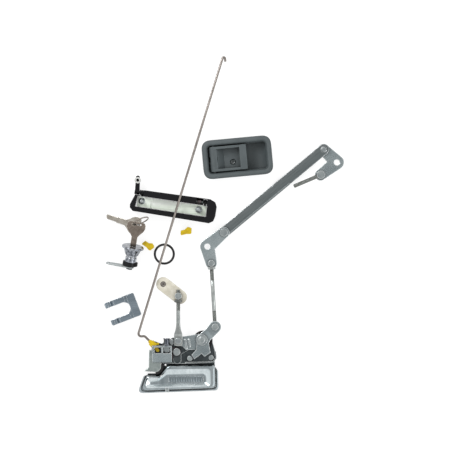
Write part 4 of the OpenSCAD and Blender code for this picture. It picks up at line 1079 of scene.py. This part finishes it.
    def _lock_rod(self) -> None:
        """Bends the long rod, from its hook down to the pin in the lock lever."""
        low, high = self.box("lock_rod")
        level = high.z - self.lock_rod_radius
        pin = self.pivots["lock_rod_swing"]
        heights = (self.hook_height, self.hook_height, level, level)
        corners = [Vector((x, y, z)) for (x, y), z in zip(self.lock_rod_route, heights)]
        corners += [Vector((pin.x, pin.y, level)), Vector((pin.x, pin.y, low.z))]
        shell = Shell()
        tube(shell, fillet(corners, self.lock_rod_bends), self.lock_rod_radius, sides=20)
        made = shell.piece("bent_lock_rod", "lock_rod", "rod_steel", [DRAWN], sharp_deg=60.0)
        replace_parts(made, "lock_rod")


@dataclass
class InnerHandle(SubAssembly):
    """Recessed pull handle of the cab side.

    Attributes:
        size: Length and width of the bezel.
        corner: Radius of its outer corners.
        least_corner: Least radius of the corners further in.
        hinge_from_middle: Distance from the hinge pin to the bezel's middle.
        rim: Steps over the rim: distance in from the outline and drop from the top.
        wall: Thickness of the bezel from outline to well.
        floor: Height of the well's floor.
        tuck: How far the floor runs into the walls.
        scoop: Where the floor starts to curve up for the fingers, and the radius of the curve.
        slot: Lowest and highest corner of the slot for the lever's tail.
        boss: Place of the screw's boss.
        boss_radii: Outer and inner radius of the boss.
        boss_height: Its height above the floor.
        boss_edge: Size of its chamfer and depth of its root.
        boss_sides: Points round the boss.
        corner_steps: Steps round each corner.
        spring: The spring on the hinge pin.
    """

    size: Flat = (104.0, 58.0)
    corner: float = 14.0
    least_corner: float = 4.0
    hinge_from_middle: float = 35.5
    rim: list[Flat] = field(default_factory=lambda: [
        (5.0, 7.0), (0.8, 6.8), (0.0, 6.0), (0.0, 4.2), (0.4, 2.6), (1.3, 1.3), (2.6, 0.4), (4.1, 0.0),
        (5.6, 0.3), (6.8, 1.2), (7.7, 2.6), (8.4, 4.6), (9.0, 8.0)])
    wall: Flat = (5.0, 9.0)
    floor: float = 2.5
    tuck: float = 1.0
    scoop: Flat = (27.0, 20.0)
    slot: tuple[Flat, Flat] = ((-40.5, 6.0), (-20.5, 13.0))
    boss: Flat = (-7.0, -6.0)
    boss_radii: Flat = (6.2, 2.9)
    boss_height: float = 3.0
    boss_edge: float = 0.5
    boss_sides: int = 28
    corner_steps: int = 8
    spring: ReturnSpring = ReturnSpring(start=-2.3, length=3.8, radius=3.5, wire=0.7, turns=3.5)
    finishes: dict[str, tuple[Finish, float]] = field(default_factory=lambda: {
        "inner_lever": (SLATE, 1.2), "inner_screw": (ZINC_SHADED, 0.4), "inner_pin": (ZINC_TURNED, 0.3)})

    def shape(self) -> None:
        """Moulds the bezel and winds the return spring."""
        self._bezel()
        shell = self.spring.wind(self.pivots["inner_lever_pull"], self.axes["inner_lever_pull"])
        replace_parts(shell.piece("return_spring", "latch_base", "dark_steel", [SPRING_WIRE]), "inner_spring")

    def _place(self, x: float, y: float, z: float) -> Vector:
        """Turns a place in the bezel's own frame into one in the layout.

        Args:
            x: Along the bezel from its middle.
            y: Across the bezel from its middle.
            z: Height above the bench.

        Returns:
            Place in millimetres.
        """
        axis = self.axes["inner_lever_pull"]
        over = axis if axis.y > 0 else -axis
        along = over.cross(UP)
        middle = self.pivots["inner_lever_pull"] + along * self.hinge_from_middle
        return Vector((middle.x, middle.y, 0.0)) + along * x + over * y + UP * z

    def _bezel(self) -> None:
        """Moulds the bezel: walls under a rounded rim, floor with scoop and slot, and the screw's boss."""
        top = self.box("inner_bezel")[1].z
        shell = Shell()
        rim = [(inwards, top - drop) for inwards, drop in self.rim]
        steps = [(self.wall[0], 0.0), *rim, (self.wall[1], 0.0)]
        half_x, half_y = self.size[0] / 2, self.size[1] / 2
        rows = []
        for inwards, z in steps:
            x, y = half_x - inwards, half_y - inwards
            square = [(-x, y), (x, y), (x, -y), (-x, -y)]
            radius = max(self.corner - inwards, self.least_corner)
            edge = round_off(square, [radius] * 4, self.corner_steps)
            rows.append(shell.ring([self._place(a, b, z) for a, b in edge]))
        for low, high in zip(rows, rows[1:] + rows[:1]):
            shell.bridge(low, high)
        inside = self.wall[1] - self.tuck
        self._floor(shell, half_x - inside, half_y - inside)
        (outer, inner), edge = self.boss_radii, self.boss_edge
        base, height = self.floor - edge, self.floor + self.boss_height
        ring = [(base, outer), (height - edge, outer), (height, outer - edge), (height, inner), (base, inner)]
        turned = []
        x, y = self.boss
        for z, radius in ring:
            turned.append(shell.ring([self._place(x + radius * math.cos(a), y + radius * math.sin(a), z)
                                      for a in circle(self.boss_sides)]))
        for low, high in zip(turned, turned[1:] + turned[:1]):
            shell.bridge(low, high)
        made = shell.piece("moulded_bezel", "latch_base", "slate_plastic", [SLATE], sharp_deg=42.0)
        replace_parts(made, "inner_bezel")

    def _floor(self, shell: Shell, half_x: float, half_y: float) -> None:
        """Lays the well's floor as a block of cells, one of which is left out for the slot.

        Args:
            shell: Mesh that gets the floor.
            half_x: Half of its length.
            half_y: Half of its width.
        """
        (x0, y0), (x1, y1) = self.slot
        start, radius = self.scoop
        steps = 10
        curve = [start + (half_x - start) * k / steps for k in range(steps + 1)]
        across_x = [-half_x, x0, x1, *curve]
        across_y = [-half_y, y0, y1, half_y]

        def height(x: float) -> float:
            """Height of the floor, which curves up past the scoop's start."""
            return self.floor + radius - math.sqrt(radius ** 2 - max(x - start, 0.0) ** 2)

        top = [shell.ring([self._place(x, y, height(x)) for y in across_y]) for x in across_x]
        low = [shell.ring([self._place(x, y, 0.0) for y in across_y]) for x in across_x]
        slot_cell = (1, 1)
        cells = {(i, k) for i in range(len(across_x) - 1) for k in range(len(across_y) - 1)} - {slot_cell}
        for i, k in sorted(cells):
            square = [(i, k), (i + 1, k), (i + 1, k + 1), (i, k + 1)]
            shell.face(tuple(top[a][b] for a, b in square))
            shell.face(tuple(low[a][b] for a, b in reversed(square)))
            for side, near in enumerate(((i, k - 1), (i + 1, k), (i, k + 1), (i - 1, k))):
                if near not in cells:
                    (a, b), (c, d) = square[side], square[(side + 1) % 4]
                    shell.face((top[c][d], top[a][b], low[a][b], low[c][d]))


@dataclass
class OuterHandle(SubAssembly):
    """Flap handle of the outside, lying on its face.

    Attributes:
        studs: Place of each stud along and across the handle from the middle of its shaft.
        stud_radius: Radius of the studs.
        collar_rise: Height of each collar over its stud's foot.
        collar_profile: Rings over a collar: height over the collar's foot and radius past the stud.
        thread_gaps: Where the thread starts over the collar's foot and how short of the tip it ends.
        chamfer: Depth of the chamfer at the tip.
        spring: The spring on the shaft.
    """

    studs: list[Flat] = field(default_factory=lambda: [(-47.0, -12.5), (39.0, -12.5)])
    stud_radius: float = 3.0
    collar_rise: Flat = (2.5, 3.5)
    collar_profile: list[Flat] = field(default_factory=lambda: [
        (0.0, 0.0), (0.0, 1.6), (0.4, 2.0), (1.1, 2.0), (1.5, 1.6), (1.5, -0.2)])
    thread_gaps: Flat = (1.6, 0.8)
    chamfer: float = 1.0
    spring: ReturnSpring = ReturnSpring(start=35.6, length=5.4, radius=3.4, wire=0.6, turns=5.5)
    finishes: dict[str, tuple[Finish, float]] = field(default_factory=lambda: {
        "outer_frame": (BLACK_ENAMEL, 1.2), "outer_grip": (BLACK_ENAMEL, 1.2),
        "outer_arm": (BLACK_ENAMEL, 1.2), "outer_shaft": (ZINC_TURNED, 0.3),
        "outer_plate": (CHROMATE, 0.4), "arm_bush": (GREY_NYLON, 0.5)})

    def shape(self) -> None:
        """Builds the studs and winds the return spring."""
        self._studs()
        shell = self.spring.wind(self.pivots["outer_grip_pull"], self.axes["outer_grip_pull"])
        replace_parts(shell.piece("grip_spring", "latch_base", "dark_steel", [SPRING_WIRE]), "outer_spring")

    def _studs(self) -> None:
        """Turns the two threaded studs with their collars."""
        low, high = self.box("outer_studs")
        axis = self.axes["outer_grip_pull"]
        side = UP.cross(axis)
        shell = Shell()
        r, rise = self.stud_radius, high.z - low.z
        after, short = self.thread_gaps
        for (along, over), collar in zip(self.studs, self.collar_rise):
            foot = self.pivots["outer_grip_pull"] + axis * along + side * over
            foot.z = low.z
            profile = [(0.0, r), *((collar + up, r + past) for up, past in self.collar_profile),
                       *thread(collar + after, rise - short, r), (rise, r - self.chamfer)]
            lathe(shell, foot, UP, profile)
        made = shell.piece("threaded_studs", "latch_base", "zinc", [ZINC_TURNED], sharp_deg=55.0)
        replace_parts(made, "outer_studs")


@dataclass
class KeyLock(SubAssembly):
    """Cylinder lock with its keys, gasket and retaining clip.

    Attributes:
        collar: Place along the lock's axis and length of its black collar.
        collar_radius: Radius of the collar.
        collar_edge: Width and depth of its broken edges.
        collar_sides: Points round the collar.
        ear_reach: How far the collar's ears stand out.
        ear_power: How narrow the ears are.
    """

    collar: Flat = (-30.4, 6.4)
    collar_radius: float = 9.2
    collar_edge: Flat = (0.5, 0.6)
    collar_sides: int = 72
    ear_reach: float = 2.1
    ear_power: int = 10
    finishes: dict[str, tuple[Finish, float]] = field(default_factory=lambda: {
        "lock_housing": (CHROME, 0.4), "lock_plug": (CHROME, 0.3), "cam_lever": (ZINC_TURNED, 0.4),
        "cam_nut": (BLACKENED, 0.4), "key": (NICKEL, 0.4), "spare_key": (NICKEL_NEW, 0.4),
        "key_ring": (NICKEL, 0.0), "gasket": (RUBBER, 0.0), "retaining_clip": (SPRING_SHEET, 0.5)})

    def shape(self) -> None:
        """Slides the black collar with two ears over the end of the housing."""
        axis = self.axes["plug_turn"]
        side, up = across(axis)
        origin = self.pivots["plug_turn"]
        start, length = self.collar
        end = start + length
        broken, depth = self.collar_edge
        shell = Shell()
        rings = []
        for along, less in ((start, depth), (start + broken, 0.0), (end - broken, 0.0), (end, depth)):
            ring = []
            for angle in circle(self.collar_sides):
                reach = self.collar_radius - less + self.ear_reach * abs(math.cos(angle)) ** self.ear_power
                ring.append(origin + axis * along + (side * math.cos(angle) + up * math.sin(angle)) * reach)
            rings.append(ring)
        shell.skin(rings)
        shell.piece("lock_collar", "latch_base", "black_metal", [BLACK_ENAMEL], sharp_deg=40.0)


@dataclass
class Studio:
    """White bench, soft light and the camera above it.

    Attributes:
        target: Point that the camera looks at.
        view_m: Width of bench that fills the picture.
        height_m: Height of the camera.
        sensor_mm: Width of the camera's sensor.
        sky: Height and light of the room, from the horizon to straight above.
        lamps: Name, place in metres, side in metres and power in watts of each soft box.
        bench_half_m: Half of the bench's side.
        bench_drop_mm: Gap between the bench and the lowest pieces.
        bench_matt: Grey that the bench throws back on the pieces.
        bench_seen: Grey that shows their shadow to the eye.
        bench_glow: Light that makes the bench look white.
    """

    target: Point = (0.5 * MM, -1.05 * MM, 0.0)
    view_m: float = 0.675
    height_m: float = 3.0
    sensor_mm: float = 36.0
    sky: list[Flat] = field(default_factory=lambda: [
        (0.0, 0.6), (0.12, 1.1), (0.82, 1.15), (0.95, 0.8), (1.0, 0.8)])
    lamps: list[tuple[str, Point, float, float]] = field(default_factory=lambda: [
        ("key", (-1.0, 1.0, 1.3), 0.6, 14.0), ("fill", (1.1, -0.6, 1.1), 1.0, 5.0)])
    bench_half_m: float = 4.0
    bench_drop_mm: float = 0.2
    bench_matt: str = "#a8a8a8"
    bench_seen: str = "#8e8e8e"
    bench_glow: float = 0.8

    def build(self) -> None:
        """Sets up floor, world, lamps and camera."""
        scene = bpy.context.scene
        scene.view_settings.view_transform = "Standard"
        self._floor()
        self._world(scene)
        for lamp in self.lamps:
            self._lamp(*lamp)
        camera = bpy.data.objects.new("camera", bpy.data.cameras.new("camera"))
        scene.collection.objects.link(camera)
        camera.data.sensor_width = self.sensor_mm
        camera.data.lens = self.sensor_mm * self.height_m / self.view_m
        camera.location = Vector(self.target) + Vector((0.0, 0.0, self.height_m))
        scene.camera = camera

    def _floor(self) -> None:
        """Lays the white bench, which keeps the pieces' shadow."""
        mesh = bpy.data.meshes.new("bench")
        half = self.bench_half_m
        corners = [(-half, -half, 0), (half, -half, 0), (half, half, 0), (-half, half, 0)]
        mesh.from_pydata(corners, [], [(0, 1, 2, 3)])
        floor = bpy.data.objects.new("bench", mesh)
        floor.location.z = -self.bench_drop_mm * MM
        bpy.context.scene.collection.objects.link(floor)
        paint = bpy.data.materials.new("matt white paper")
        paint.use_nodes = True
        tree = paint.node_tree
        tree.nodes.clear()
        ray = add_node(tree, "ShaderNodeLightPath")
        matt = add_node(tree, "ShaderNodeBsdfDiffuse", {"Color": linear(self.bench_matt)})
        pale = add_node(tree, "ShaderNodeBsdfDiffuse", {"Color": linear(self.bench_seen)})
        glow = add_node(tree, "ShaderNodeEmission", {"Color": linear(WHITE), "Strength": self.bench_glow})
        lit = add_node(tree, "ShaderNodeAddShader", links={0: pale.outputs[0], 1: glow.outputs[0]})
        # The eye, mirrors and glass see the white bench; the pieces get light from the grey one.
        shown = ray.outputs["Is Camera Ray"]
        for kind in ("Is Glossy Ray", "Is Transmission Ray"):
            shown = add_node(tree, "ShaderNodeMath", links={0: shown, 1: ray.outputs[kind]},
                             operation="MAXIMUM").outputs[0]
        mix = add_node(tree, "ShaderNodeMixShader", links={0: shown, 1: matt.outputs[0], 2: lit.outputs[0]})
        add_node(tree, "ShaderNodeOutputMaterial", links={"Surface": mix.outputs[0]})
        mesh.materials.append(paint)

    def _world(self, scene: bpy.types.Scene) -> None:
        """Makes a pale room, brightest at middle heights and dimmer overhead and at the horizon.

        Args:
            scene: Scene that gets the world.
        """
        world = bpy.data.worlds.new("room")
        scene.world = world
        world.use_nodes = True
        tree = world.node_tree
        tree.nodes.clear()
        where = add_node(tree, "ShaderNodeTexCoord")
        axes = add_node(tree, "ShaderNodeSeparateXYZ", links={0: where.outputs["Generated"]})
        rise = add_node(tree, "ShaderNodeValToRGB", links={"Fac": axes.outputs["Z"]})
        rise.color_ramp.interpolation = "EASE"
        for height, _ in self.sky[1:-1]:
            rise.color_ramp.elements.new(height)
        for element, (height, light) in zip(rise.color_ramp.elements, self.sky):
            element.position = height
            element.color = (light, light, light, 1.0)
        room = add_node(tree, "ShaderNodeBackground", {"Color": linear(WHITE)},
                        {"Strength": rise.outputs["Color"]})
        add_node(tree, "ShaderNodeOutputWorld", links={"Surface": room.outputs[0]})

    def _lamp(self, name: str, where: Point, size_m: float, power: float) -> None:
        """Hangs a square soft box that faces the bench.

        Args:
            name: Name of the lamp.
            where: Its place in metres.
            size_m: Its side.
            power: Its power in watts.
        """
        lamp = bpy.data.lights.new(name, "AREA")
        lamp.size = size_m
        lamp.energy = power
        obj = bpy.data.objects.new(name, lamp)
        obj.location = where
        obj.rotation_euler = (Vector(self.target) - Vector(where)).to_track_quat("-Z", "Y").to_euler()
        bpy.context.scene.collection.objects.link(obj)


def main() -> None:
    """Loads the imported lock, dresses every group and sets up the studio."""
    logging.basicConfig(level=logging.INFO, format="%(name)s: %(message)s")
    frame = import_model()
    pivots = {joint["name"]: Vector(joint["pos_m"]) / MM for joint in frame["joints"]}
    axes = {joint["name"]: Vector(joint["axis"]).normalized() for joint in frame["joints"]}
    for group in (Latch, Linkage, InnerHandle, OuterHandle, KeyLock):
        group(frame["nodes"], pivots, axes).build()
        LOG.info("built %s", group.__name__)
    Studio().build()


if __name__ == "__main__":
    main()
